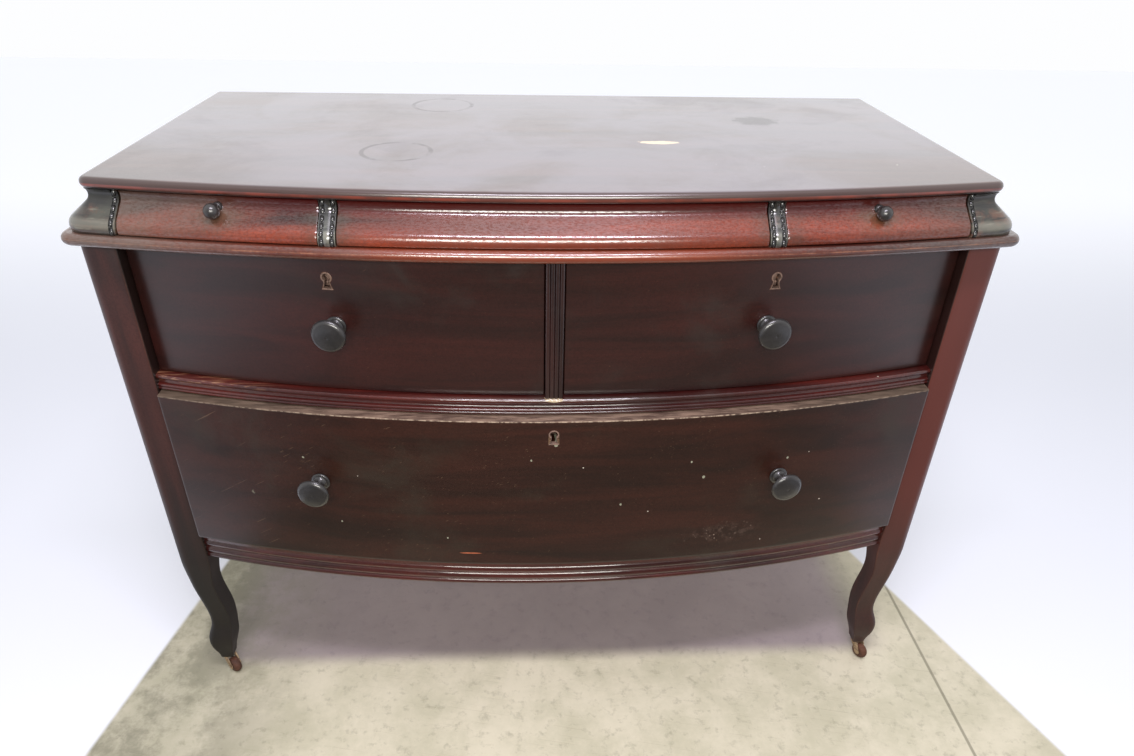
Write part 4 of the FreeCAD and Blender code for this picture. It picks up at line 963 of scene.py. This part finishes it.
def makeFriezeStrips():
    # strip between the drawers: a crowned band between two sunk channels for the beads
    crown, depth, wall = friezeStrip["crown"], channel["depth"], channel["wall"]
    inside, outside = (channel["stripOffset"] + sign * channel["width"] / 2 for sign in (-1, 1))
    half = [(inside * 0.5, crown * 0.8), (inside, 0.0), (inside + wall, -depth), (outside - wall, -depth),
            (outside, 0.0), (friezeStrip["half"], 0.0)]
    plan = [(-dx, up) for dx, up in reversed(half)] + [(0.0, crown)] + half
    loop = ogeeLoop(carcass["waistTop"], carcass["topUnder"], friezeStrip["wood"])
    middle, under = friezeStrip["middle"], friezeStrip["under"]
    strips = [sweptLoop("strip", carvedStations(sign * middle, plan, under), loop) for sign in sides.values()]
    settle(joinPieces("friezeStrips", strips), "carcass", "strip", "frieze_dividers")


beads = {"count": 6, "radius": 2.35, "stretch": 1.9, "sink": 1.2, "seed": 11, "pathSteps": 60}


def makeBeads():
    # rows of carved beads that follow the ogee in the channels of each strip and corner block
    line = ogeeLine()
    along = [0.0]
    for p, q in zip(line, line[1:]):
        along.append(along[-1] + math.dist(p, q))

    def pointAt(share):
        want = share * along[-1]
        k = max(i for i, a in enumerate(along[:-1]) if a <= want)
        f = (want - along[k]) / (along[k + 1] - along[k])
        return tuple(line[k][n] + (line[k + 1][n] - line[k][n]) * f for n in (0, 1))

    ends = 0.5 / beads["count"]
    path = [pointAt(ends + (1 - 2 * ends) * i / beads["pathSteps"]) for i in range(beads["pathSteps"] + 1)]
    cornerRow = carcass["blockInner"] + channel["cornerInset"]
    rows = {"beadsStrips": [sign * friezeStrip["middle"] + row * channel["stripOffset"]
                            for sign in sides.values() for row in (-1, 1)],
            "beadsCorners": [sign * cornerRow for sign in sides.values()]}
    for name, xs in rows.items():
        curve = newCurve(name + "Paths")
        for x in xs:
            places = [(*bowPoint(friezeBow, reach - beads["sink"], x), z) for reach, z in path]
            addPolyline(curve, [(x / 1000, y / 1000 + postPlane, z / 1000) for x, y, z in places])
        mesh = runTree(name, curve, beadRow, {"Count": beads["count"], "Radius": beads["radius"] / 1000,
                                              "Stretch": beads["stretch"], "Seed": beads["seed"],
                                              "Material": finishes["bead"]})
        setLayer(mesh, "edge", 1.6)
        setLayer(mesh, "crest", 0.6)
        settle(addObject(name, mesh), "carcass", "bead")


makeFriezeFronts()
makeFriezeEnds()
makeFriezeStrips()
makeBeads()
print("scene: top and frieze made")


# ---- waist moulding

waist = {"nose": 7.5, "railBack": 36.0, "flat": 6.0, "rim": 1.0, "steps": 26}
mortise = {"round": 1.0, "below": 5.0, "above": 10.5}


def boltMortise(node):
    # room round a lock bolt and above it for its throw
    low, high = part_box(node)
    room, top = mortise["round"], high.z * 1000
    x0, x1 = low.x * 1000 - room, high.x * 1000 + room
    y0, y1 = (low.y - postPlane) * 1000 - room, (high.y - postPlane) * 1000 + room
    outline = [(x0, y0), (x1, y0), (x1, y1), (x0, y1)]
    return uprightPrism("cutter", outline, top - mortise["below"], top + mortise["above"])


def makeWaist():
    top, under = carcass["waistTop"], carcass["waistUnder"]
    r, flat, rim = (waist[k] for k in ("nose", "flat", "rim"))
    chain = [(-flat, under + 2 * r, 12.0, 0.0), (-rim, under + 2 * r, 5.0, 0.0)]
    chain += [(reach, z, edge, math.cos(a)) for reach, z, edge, a in halfRound(r, under + r, 5, 0.8)]
    chain += [(-rim, under, 8.0, 0.0)]
    stations = bothWays(returnStations(waistBow, 0.0, waist["railBack"], waist["steps"], 12, 3))
    bolts = [boltMortise("upper_left_bolt"), boltMortise("upper_right_bolt")]
    settle(cutAway(mouldedSlab("waistRail", stations, chain), bolts), "carcass", "waist", "waist_rail")
    ys = (waist["railBack"], *carcass["sideSteps"], carcass["caseBack"])
    inner = carcass["postInner"] - waistBow["half"]
    loop = list(reversed(chain)) + [(inner, top, 20.0, 0.0), (inner, under, 20.0, 0.0)]
    for side, sign in sides.items():
        obj = sweptLoop("waistSide" + side.capitalize(), sideStations(waistBow, ys), loop, 0.0, sign < 0)
        settle(obj, "carcass", "waist", "waist_moulding_" + side)


makeWaist()


# ---- moulded rails and the reeded divider

rails = {"back": 36.0, "strip": 12.0, "intoPosts": 3.0, "steps": 40, "stripSteps": 65,
         "crown": 0.2, "lip": 1.5, "hollowDepth": 5.5,
         "mid": {"bottom": 584.5, "top": carcass["midRailTop"], "reeds": (4.6, 4.6), "hollow": 8.0},
         "bottom": {"bottom": 276.0, "top": 329.0, "reeds": (9.0, 13.0, 13.0), "hollow": 0.0}}


def railLoop(rail):
    # closed section of the moulded strip: (reach outwards, height)
    top, z, hollow = rail["top"], rail["bottom"], rail["hollow"]
    crown, lip = rails["crown"], rails["lip"]
    loop = [(-rails["strip"], z), (-rail["reeds"][0] * 0.4, z)]
    for reed in rail["reeds"]:
        loop += arcThrough(loop[-1], (crown, z + reed / 2), (-reed * 0.3, z + reed), 8)
        z += reed
    if hollow:
        loop += arcThrough(loop[-1], (-rails["hollowDepth"], z + hollow / 2), (-lip, z + hollow), 10)
        loop += arcThrough(loop[-1], (crown, (z + hollow + top) / 2), (-lip, top), 8)
    else:
        loop += [(-lip, z), (-lip, top - 2.5)]
        loop += arcThrough(loop[-1], (0.0, top - 1.2), (-2.0, top), 5)
    return loop + [(-rails["strip"], top)]


def makeRail(name, rail, node, bolts=()):
    curve = newCurve(name + "Section")
    # the section lies with x outwards and y downwards
    addPolyline(curve, [(reach / 1000, -z / 1000, 0.0) for reach, z in railLoop(rail)], True)
    section = addObject(name + "Section", curve)
    half = math.asin((carcass["postInner"] + rails["intoPosts"]) / caseBow["radius"])
    inputs = {"Bow Radius": caseBow["radius"] / 1000, "Half Angle": half, "Steps": rails["stripSteps"],
              "Section": section, "Shift": (0.0, caseBow["middleY"] / 1000 + postPlane, 0.0),
              "Material": finishes["rail"]}
    mesh = runTree(name + "Run", bpy.data.meshes.new(name + "Empty"), mouldedRun, inputs)
    bpy.data.objects.remove(section)
    # distance to the nearest crest, for rubbing
    crests = [rail["bottom"] + sum(rail["reeds"][:i]) + reed / 2 for i, reed in enumerate(rail["reeds"])]
    crests.append(rail["top"] - 1.5)
    setLayer(mesh, "edge", [min(abs(v.co.z * 1000 - c) for c in crests) * 0.7 + 0.4 for v in mesh.vertices])
    setLayer(mesh, "crest", 0.6)
    strip = tidyMesh(name + "Strip", mesh)
    inner, steps = carcass["postInner"], rails["steps"]
    xs = [-inner + 2 * inner * i / steps for i in range(steps + 1)]
    outline = [bowPoint(caseBow, -rails["strip"], x) for x in xs]
    outline += [(inner, rails["back"]), (-inner, rails["back"])]
    slab = uprightPrism(name + "Slab", outline, rail["bottom"], rail["top"])
    slab = cutAway(slab, [boltMortise(bolt) for bolt in bolts])
    settle(joinPieces(name, [strip, slab]), "carcass", "rail", node)


divider = {"width": 23.0, "depth": 60.0, "front": -61.0, "reeds": 4}


def makeDivider():
    half, front = divider["width"] / 2, divider["front"]
    reed = divider["width"] / divider["reeds"]
    outline = [(half, front + divider["depth"]), (-half, front + divider["depth"]), (-half, front)]
    for i in range(divider["reeds"]):
        start = -half + i * reed
        crest = (start + reed / 2, front - reed * 0.42)
        outline += arcThrough((start, front), crest, (start + reed, front), 8)
    obj = uprightPrism("upperDivider", outline, rails["mid"]["top"], carcass["waistUnder"], 2.0)
    settle(obj, "carcass", "divider", "upper_divider")


makeRail("midRail", rails["mid"], "mid_rail", ["lower_bolt"])
makeRail("bottomRail", rails["bottom"], "bottom_rail")
makeDivider()
print("scene: rails made")


# ---- posts with cabriole legs; stations hold (share of the height, sweep, width)

legs = {
    "bottom": 36.0, "top": 276.0, "round": 12.0, "edge": 1.5, "width": 46.0,
    "stations": [(1.00, 0.0, 46.0), (0.96, 0.0, 46.0), (0.84, 2.0, 40.5), (0.72, 4.5, 35.5),
                 (0.54, 9.5, 34.0), (0.41, 12.4, 33.5), (0.31, 11.0, 34.5), (0.22, 4.5, 39.5),
                 (0.155, 4.0, 38.5), (0.09, 7.0, 31.5), (0.03, 11.0, 24.0), (0.0, 12.0, 22.0)],
    "levels": (330.0, 420.0, 510.0, 600.0, 690.0, 780.0),
}


def postRing(sweep, width, z):
    # square section with one soft outer corner; edge is the distance to the nearest arris
    x1 = carcass["postOuter"] - sweep
    x0, y0 = x1 - width, sweep
    y1 = y0 + width
    small, big = legs["edge"], legs["round"] * width / legs["width"]
    ring = []

    def corner(cx, cy, radius, start, steps, edge):
        for i in range(steps + 1):
            a = math.radians(start + 90 * i / steps)
            ring.append((cx + radius * math.cos(a), cy + radius * math.sin(a), z, edge))

    def flat(a, b):
        for share, edge in ((0.08, 2.5), (0.25, 8.0), (0.5, 14.0), (0.75, 8.0), (0.92, 2.5)):
            ring.append((a[0] + (b[0] - a[0]) * share, a[1] + (b[1] - a[1]) * share, z, edge))

    corner(x0 + small, y0 + small, small, 180, 3, 0.3)
    flat((x0 + small, y0), (x1 - big, y0))
    corner(x1 - big, y0 + big, big, 270, 8, 4.0)
    flat((x1, y0 + big), (x1, y1 - small))
    corner(x1 - small, y1 - small, small, 0, 3, 0.3)
    flat((x1 - small, y1), (x0 + small, y1))
    corner(x0 + small, y1 - small, small, 90, 3, 0.3)
    flat((x0, y1 - small), (x0, y0 + small))
    return ring


def makePosts():
    bottom, span = legs["bottom"], legs["top"] - legs["bottom"]
    knots = [(bottom + share * span, sweep, width) for share, sweep, width in reversed(legs["stations"])]
    levels = smoothCurve(knots, 6)
    levels += [(z, 0.0, legs["width"]) for z in (*legs["levels"], carcass["waistUnder"])]
    rings = [postRing(sweep, width, z) for z, sweep, width in levels]
    points = [point for ring in rings for point in ring]
    faces = cappedFaces(len(rings), len(rings[0]))
    for side, sign in sides.items():
        obj = makePiece("frontPost" + side.capitalize(), [point[:3] for point in points], faces,
                        [point[3] for point in points], flip=sign < 0)
        settle(obj, "carcass", "post", "front_post_" + side)


makePosts()
print("scene: posts made")


# ---- drawer fronts

fronts = {
    "upper": {"face": 12.0, "wood": 20.0, "z0": 609.0, "z1": 799.0, "x0": 13.0, "x1": 532.5},
    "lower": {"face": -13.0, "wood": 34.0, "z0": 330.5, "z1": 583.0, "x0": -532.5, "x1": 532.5},
    "soft": 1.0, "near": 4.0, "far": 10.0, "rows": 6,
}
locks = {"upperX": 277.15, "upperZ": 762.5, "lowerZ": 557.5, "width": 14.4, "height": 23.0, "rim": 1.7,
         "seat": 5.6, "behind": 9.0, "proud": 3.0}


def keyholeCutter(place, grow, y1):
    # keyhole shape, grown or shrunk, from in front of the face to a depth behind it
    head = locks["width"] * 0.48 + grow
    foot = locks["width"] / 2 + grow
    top = locks["height"] / 2 - locks["width"] * 0.48
    bottom = -locks["height"] / 2 - grow
    neckX, neckZ = head * 0.6, top - head * 0.8
    middleZ = (neckZ + bottom) / 2
    line = [(neckX, neckZ)] + arcThrough((neckX, neckZ), (0.0, top + head), (-neckX, neckZ), 20)
    line += arcThrough(line[-1], (-neckX - 0.6, middleZ), (-foot, bottom), 5) + [(foot, bottom)]
    line += arcThrough((foot, bottom), (neckX + 0.6, middleZ), (neckX, neckZ), 5)[:-1]
    near, far = ([place(x, y, z) for x, z in line] for y in (-locks["proud"], y1))
    return prism("cutter", near, far)


def makeFront(name, front, x0, x1, lockX, lockZ):
    z0, z1 = front["z0"], front["z1"]
    soft, near, far, rows = (fronts[k] for k in ("soft", "near", "far", "rows"))
    k = soft * (1 - math.sqrt(0.5))
    face = [(-soft, z0), (-k, z0 + k), (0.0, z0 + soft), (0.0, z0 + near), (0.0, z0 + far)]
    face += [(0.0, z0 + far + (z1 - z0 - 2 * far) * i / rows) for i in range(1, rows)]
    face += [(0.0, z1 - far), (0.0, z1 - near), (0.0, z1 - soft), (-k, z1 - k), (-soft, z1)]
    loop = [(reach, z, min(z - z0, z1 - z, 14.0), 0.5) for reach, z in face]
    loop += [(-front["wood"], z1, 20.0, 0.5), (-front["wood"], z0, 20.0, 0.5)]
    bow = dict(caseBow, radius=caseBow["radius"] - front["face"])
    steps = max(12, int((x1 - x0) / 30))
    obj = sweptLoop(name, bowStations(bow, spacedBetween(x0, x1, steps)), loop, 0.6)
    place = squareTo(bow, 0.0, lockX, lockZ)
    return cutAway(obj, [keyholeCutter(place, 0.05, locks["seat"]),
                         keyholeCutter(place, -locks["rim"], front["wood"] - locks["behind"])])


def makeFronts():
    upper, lower = fronts["upper"], fronts["lower"]
    for side, sign in sides.items():
        x0, x1 = sorted((sign * upper["x0"], sign * upper["x1"]))
        name, lockX = "upperFront" + side.capitalize(), sign * locks["upperX"]
        obj = makeFront(name, upper, x0, x1, lockX, locks["upperZ"])
        settle(obj, "upper_drawer_" + side, "upperFront", "upper_drawer_" + side + "_front")
    obj = makeFront("lowerFront", lower, lower["x0"], lower["x1"], 0.0, locks["lowerZ"])
    settle(obj, "lower_drawer", "lowerFront", "lower_drawer_front")


makeFronts()
print("scene: drawer fronts made")


# ---- knobs

knobs = {"radius": 22.0, "reach": 36.0, "base": 12.0, "neck": 6.5, "upperX": 272.75, "upperZ": 702.5,
         "lowerX": 320.0, "lowerZ": 471.25}
ballKnobs = {"radius": 9.3, "reach": 18.0, "neck": 4.6, "foot": 6.2, "collar": 6.2, "x": 394.25, "z": 848.9}


def mushroomProfile():
    r, p, base, neck = (knobs[k] for k in ("radius", "reach", "base", "neck"))
    line = [(0.0, 0.0), (base, 0.0)]
    line += arcThrough(line[-1], (base + 1.2, 2.0), (base, 4.0), 5) + [(base - 2.5, 4.6)]
    line += arcThrough(line[-1], (neck, 0.36 * p), (neck + 2.0, 0.52 * p), 9)
    line += [(neck + 5.0, 0.56 * p), (neck + 5.0, 0.62 * p)]
    line += arcThrough(line[-1], (r * 0.86, 0.70 * p), (r, 0.80 * p), 7)
    line += arcThrough(line[-1], (r * 0.92, 0.9 * p), (r * 0.72, 0.955 * p), 7)
    line += arcThrough(line[-1], (r * 0.4, 0.99 * p), (1.0, p), 8) + [(0.0, p - 0.4)]
    return [(radius, reach, math.hypot(radius - r, reach - 0.8 * p) * 0.5 + 0.2) for radius, reach in line]


def ballProfile():
    r, reach, neck, foot, collar = (ballKnobs[k] for k in ("radius", "reach", "neck", "foot", "collar"))
    start = reach - r * 0.8
    line = [(0.0, 0.0), (foot, 0.0), (foot, collar * 0.48)]
    line += arcThrough(line[-1], (foot * 0.96, collar * 0.84), (foot * 0.82, collar), 4)
    line += arcThrough(line[-1], (neck, (collar + start) / 2), (r * 0.6, start), 6)
    line += arcThrough(line[-1], (r, reach), (0.0, reach + r), 18)
    return [(radius, along, 1.5) for radius, along in line]


def makeKnobs():
    def mushroom(name, front, x, z):
        return turnedPiece(name, mushroomProfile(), squareTo(caseBow, -fronts[front]["face"], x, z))

    for side, sign in sides.items():
        obj = mushroom("upperKnob" + side.capitalize(), "upper", sign * knobs["upperX"], knobs["upperZ"])
        settle(obj, "upper_drawer_" + side, "knob", "upper_knob_" + side)
        place = squareTo(drawerBow, 0.0, sign * ballKnobs["x"], ballKnobs["z"])
        ball = turnedPiece("friezeKnob" + side.capitalize(), ballProfile(), place, 32)
        settle(ball, "frieze_drawer_" + side, "knob", "frieze_knob_" + side)
    pair = [mushroom("lowerKnob", "lower", sign * knobs["lowerX"], knobs["lowerZ"])
            for sign in sides.values()]
    settle(joinPieces("lowerKnobs", pair), "lower_drawer", "knob", "lower_knobs")


makeKnobs()
print("scene: knobs made")


# ---- boards and fittings kept from the frame, with their arrises softened

softening = {"merge": 2e-6, "flat": 0.6, "corner": 40.0, "steps": 2, "sharp": 35.0}
arrises = {"board": 0.6, "box": 0.5, "metal": 0.2, "wheel": 0.0}


def soften(node, body, finish, width):
    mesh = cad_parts[node].data.copy()
    bm = bmesh.new()
    bm.from_mesh(mesh)
    bmesh.ops.remove_doubles(bm, verts=bm.verts, dist=softening["merge"])
    flat = math.radians(softening["flat"])
    bmesh.ops.dissolve_limit(bm, angle_limit=flat, verts=bm.verts, edges=bm.edges)
    bm.to_mesh(mesh)
    bm.free()
    first, *others = node.split("_")
    name = first + "".join(word.capitalize() for word in others)
    if width:
        obj = addObject(name, mesh)
        bevel = obj.modifiers.new("soft", "BEVEL")
        bevel.width = width / 1000
        bevel.segments = softening["steps"]
        bevel.limit_method = "ANGLE"
        bevel.angle_limit = math.radians(softening["corner"])
        bevel.use_clamp_overlap = True
        mesh = bakeModifiers(obj)
    setLayer(mesh, "edge", 20.0)
    setLayer(mesh, "crest", 0.5)
    settle(shadedObject(name, mesh, softening["sharp"]), body, finish, node)


boards = {
    "rear_posts": "upright", "side_rails": "carcass", "side_panels": "upright", "back_panel": "backBoard",
    "back_rails": "backBoard", "drawer_runners": "insideY", "frieze_runners": "insideY",
    "dust_panels": "insideX", "drawer_guides": "insideY", "top_cleats": "insideY",
}
lockDrawers = {"upper_left": "upper_drawer_left", "upper_right": "upper_drawer_right",
               "lower": "lower_drawer"}

for node, finish in boards.items():
    soften(node, "carcass", finish, arrises["board"])
for drawer in ["frieze_drawer_" + side for side in friezeSpans] + list(lockDrawers.values()):
    soften(drawer + "_box", drawer, "insideY", arrises["box"])
for fitting, finish in (("_escutcheon", "brass"), ("_lock", "brass"), ("_bolt", "steel")):
    for place, drawer in lockDrawers.items():
        soften(place + fitting, place + fitting if fitting == "_bolt" else drawer, finish, arrises["metal"])
soften("caster_sockets", "carcass", "iron", arrises["metal"])
for place in ("front_left", "front_right", "rear_left", "rear_right"):
    soften("caster_yoke_" + place, "caster_" + place, "iron", arrises["metal"])
    soften("caster_wheel_" + place, "wheel_" + place, "wheel", arrises["wheel"])
print("scene: boards and fittings dressed")


# ---- stage, light and camera

# under is the colour of the painted shadow beneath the chest, shade that of the painted shade on the open
# side
stage = {"floor": (208, 201, 180), "stain": (188, 183, 160), "damp": (112, 110, 92), "far": (231, 234, 243),
         "rust": (132, 118, 92), "joint": (96, 92, 74), "under": (124, 108, 124), "shade": (70, 66, 62),
         "wall": (0.985, 0.99, 1.0, 1.0), "size": 6.0, "jointX": 681.0, "leftX": 664.0, "rightX": 674.0}


def makeFloor():
    # concrete in front of and under the chest, with a painted shadow beneath the chest, fading to a white
    # sweep and to shade on the open side
    mesh = bpy.data.meshes.new("floor")
    size = stage["size"]
    corners = [(-size, -size, 0), (size, -size, 0), (size, size, 0), (-size, size, 0)]
    mesh.from_pydata(corners, [], [(0, 1, 2, 3)])
    obj = addObject("floor", mesh)
    material, shader, where = startMaterial("paleFloor")
    x, y, z = axisValues(where)
    pastLeft = sub(sub(mul(y, 0.2), stage["leftX"]), x)
    pastRight = sub(x, sub(stage["rightX"], mul(y, 0.394)))
    far = calc("MAXIMUM", ramp(pastLeft, -5.0, 5.0), ramp(pastRight, -5.0, 5.0))
    far = calc("MAXIMUM", far, ramp(y, 250.0, 420.0))
    pits = ramp(noise(where, 0.05, 5.0, 0.7), 0.52, 0.7)
    ground = blend(ramp(noise(where, 0.006, 8.0, 0.72), 0.36, 0.64), stage["floor"], stage["stain"])
    ground = tint(ground, pits, stage["damp"], 0.3)
    ground = tint(ground, scratches(where, (0.0, 0.0, 0.2), 160.0, 0.3), stage["rust"], 0.3)
    ground = tint(ground, ramp(away(x, stage["jointX"]), 1.5, 3.5, 0.6, 0.0), stage["joint"])
    # painted shadow of the chest on the floor beneath it
    under = mul(ramp(y, -190.0, -150.0, 0.0, 0.75), ramp(away(x), 640.0, 540.0))
    ground = tint(ground, under, stage["under"])
    blotches = ramp(noise(where, 0.008, 6.0, 0.7), 0.4, 0.58, 0.3, 0.75)
    ground = tint(ground, mul(ramp(x, -640.0, -340.0, 1.0, 0.0), blotches), stage["damp"])
    shade = mul(ramp(y, -640.0, -430.0, 0.85, 0.0), ramp(away(x), 1150.0, 1800.0, 1.0, 0.0))
    ground = tint(tint(ground, far, stage["far"]), shade, stage["shade"])
    # painted light: the far part of the floor glows a little, standing in for a lit wall beyond it
    glow = blend(ramp(y, 700.0, 2600.0), (0, 0, 0), (255, 255, 255))
    feedAll(shader, {"Base Color": ground, "Roughness": 0.7, "Emission Color": glow,
                     "Emission Strength": 0.3})
    addBump(shader, mul(pits, sub(1.0, far)), 0.3, 0.002)
    mesh.materials.append(material)


def makeWorld():
    # walls at the back and sides are bright, the open side of the room is dim
    world = bpy.data.worlds.new("studio")
    bpy.context.scene.world = world
    world.use_nodes = True
    now["tree"] = world.node_tree
    x, y, z = axisValues(addNode("ShaderNodeTexCoord").outputs["Generated"])
    level = ramp(add(y, mul(away(x), 0.9)), -0.7, 0.35, 0.12, 0.9)
    level = add(level, ramp(y, 0.5, 0.97, 0.0, 0.36))
    seen = addNode("ShaderNodeLightPath").outputs["Is Camera Ray"]
    strength = addNode("ShaderNodeMix", {0: seen, 2: level, 3: 1.0}, data_type="FLOAT").outputs[0]
    feedAll(world.node_tree.nodes["Background"], {"Strength": strength, "Color": stage["wall"]})


lamps = {
    "frontLamp": {"place": (-0.05, -1.45, 1.35), "target": (0.0, 0.0, 0.7), "width": 0.9, "height": 0.34,
                  "power": 20.0, "colour": (1.0, 0.97, 0.9)},
    "ceilingLamp": {"place": (0.02, -1.0, 2.5), "target": (0.0, -0.25, 0.4), "width": 1.0, "height": 0.2,
                    "power": 30.0, "colour": (0.94, 0.88, 1.0)},
}
view = {"place": (-0.03312, -1.12188, 1.15745), "yaw": 0.05752, "pitch": 0.54196, "roll": 0.0229,
        "focalPixels": 782.58, "imageWidth": 1134.0, "sensor": 36.0}


def addLamp(name, lamp):
    light = bpy.data.lights.new(name, "AREA")
    light.shape = "RECTANGLE"
    light.size = lamp["width"]
    light.size_y = lamp["height"]
    light.energy = lamp["power"]
    light.color = lamp["colour"]
    obj = addObject(name, light)
    obj.location = lamp["place"]
    ahead = Vector(lamp["target"]) - Vector(lamp["place"])
    obj.rotation_euler = ahead.to_track_quat("-Z", "Y").to_euler()


def makeCamera():
    yaw, pitch, roll = view["yaw"], view["pitch"], view["roll"]
    forward = Vector((math.sin(yaw) * math.cos(pitch), math.cos(yaw) * math.cos(pitch), -math.sin(pitch)))
    level = Vector((math.cos(yaw), -math.sin(yaw), 0.0))
    upright = level.cross(forward)
    right = level * math.cos(roll) + upright * math.sin(roll)
    up = -level * math.sin(roll) + upright * math.cos(roll)
    data = bpy.data.cameras.new("camera")
    data.sensor_width = view["sensor"]
    data.sensor_fit = "HORIZONTAL"
    data.lens = view["focalPixels"] / view["imageWidth"] * view["sensor"]
    data.clip_end = 50.0
    camera = addObject("camera", data)
    turn = Matrix((right, up, -forward)).transposed().to_4x4()
    camera.matrix_world = Matrix.Translation(view["place"]) @ turn
    bpy.context.scene.camera = camera


makeFloor()
makeWorld()
for name, lamp in lamps.items():
    addLamp(name, lamp)
makeCamera()
bpy.context.scene.view_settings.view_transform = "Standard"
print("scene: stage, light and camera set")
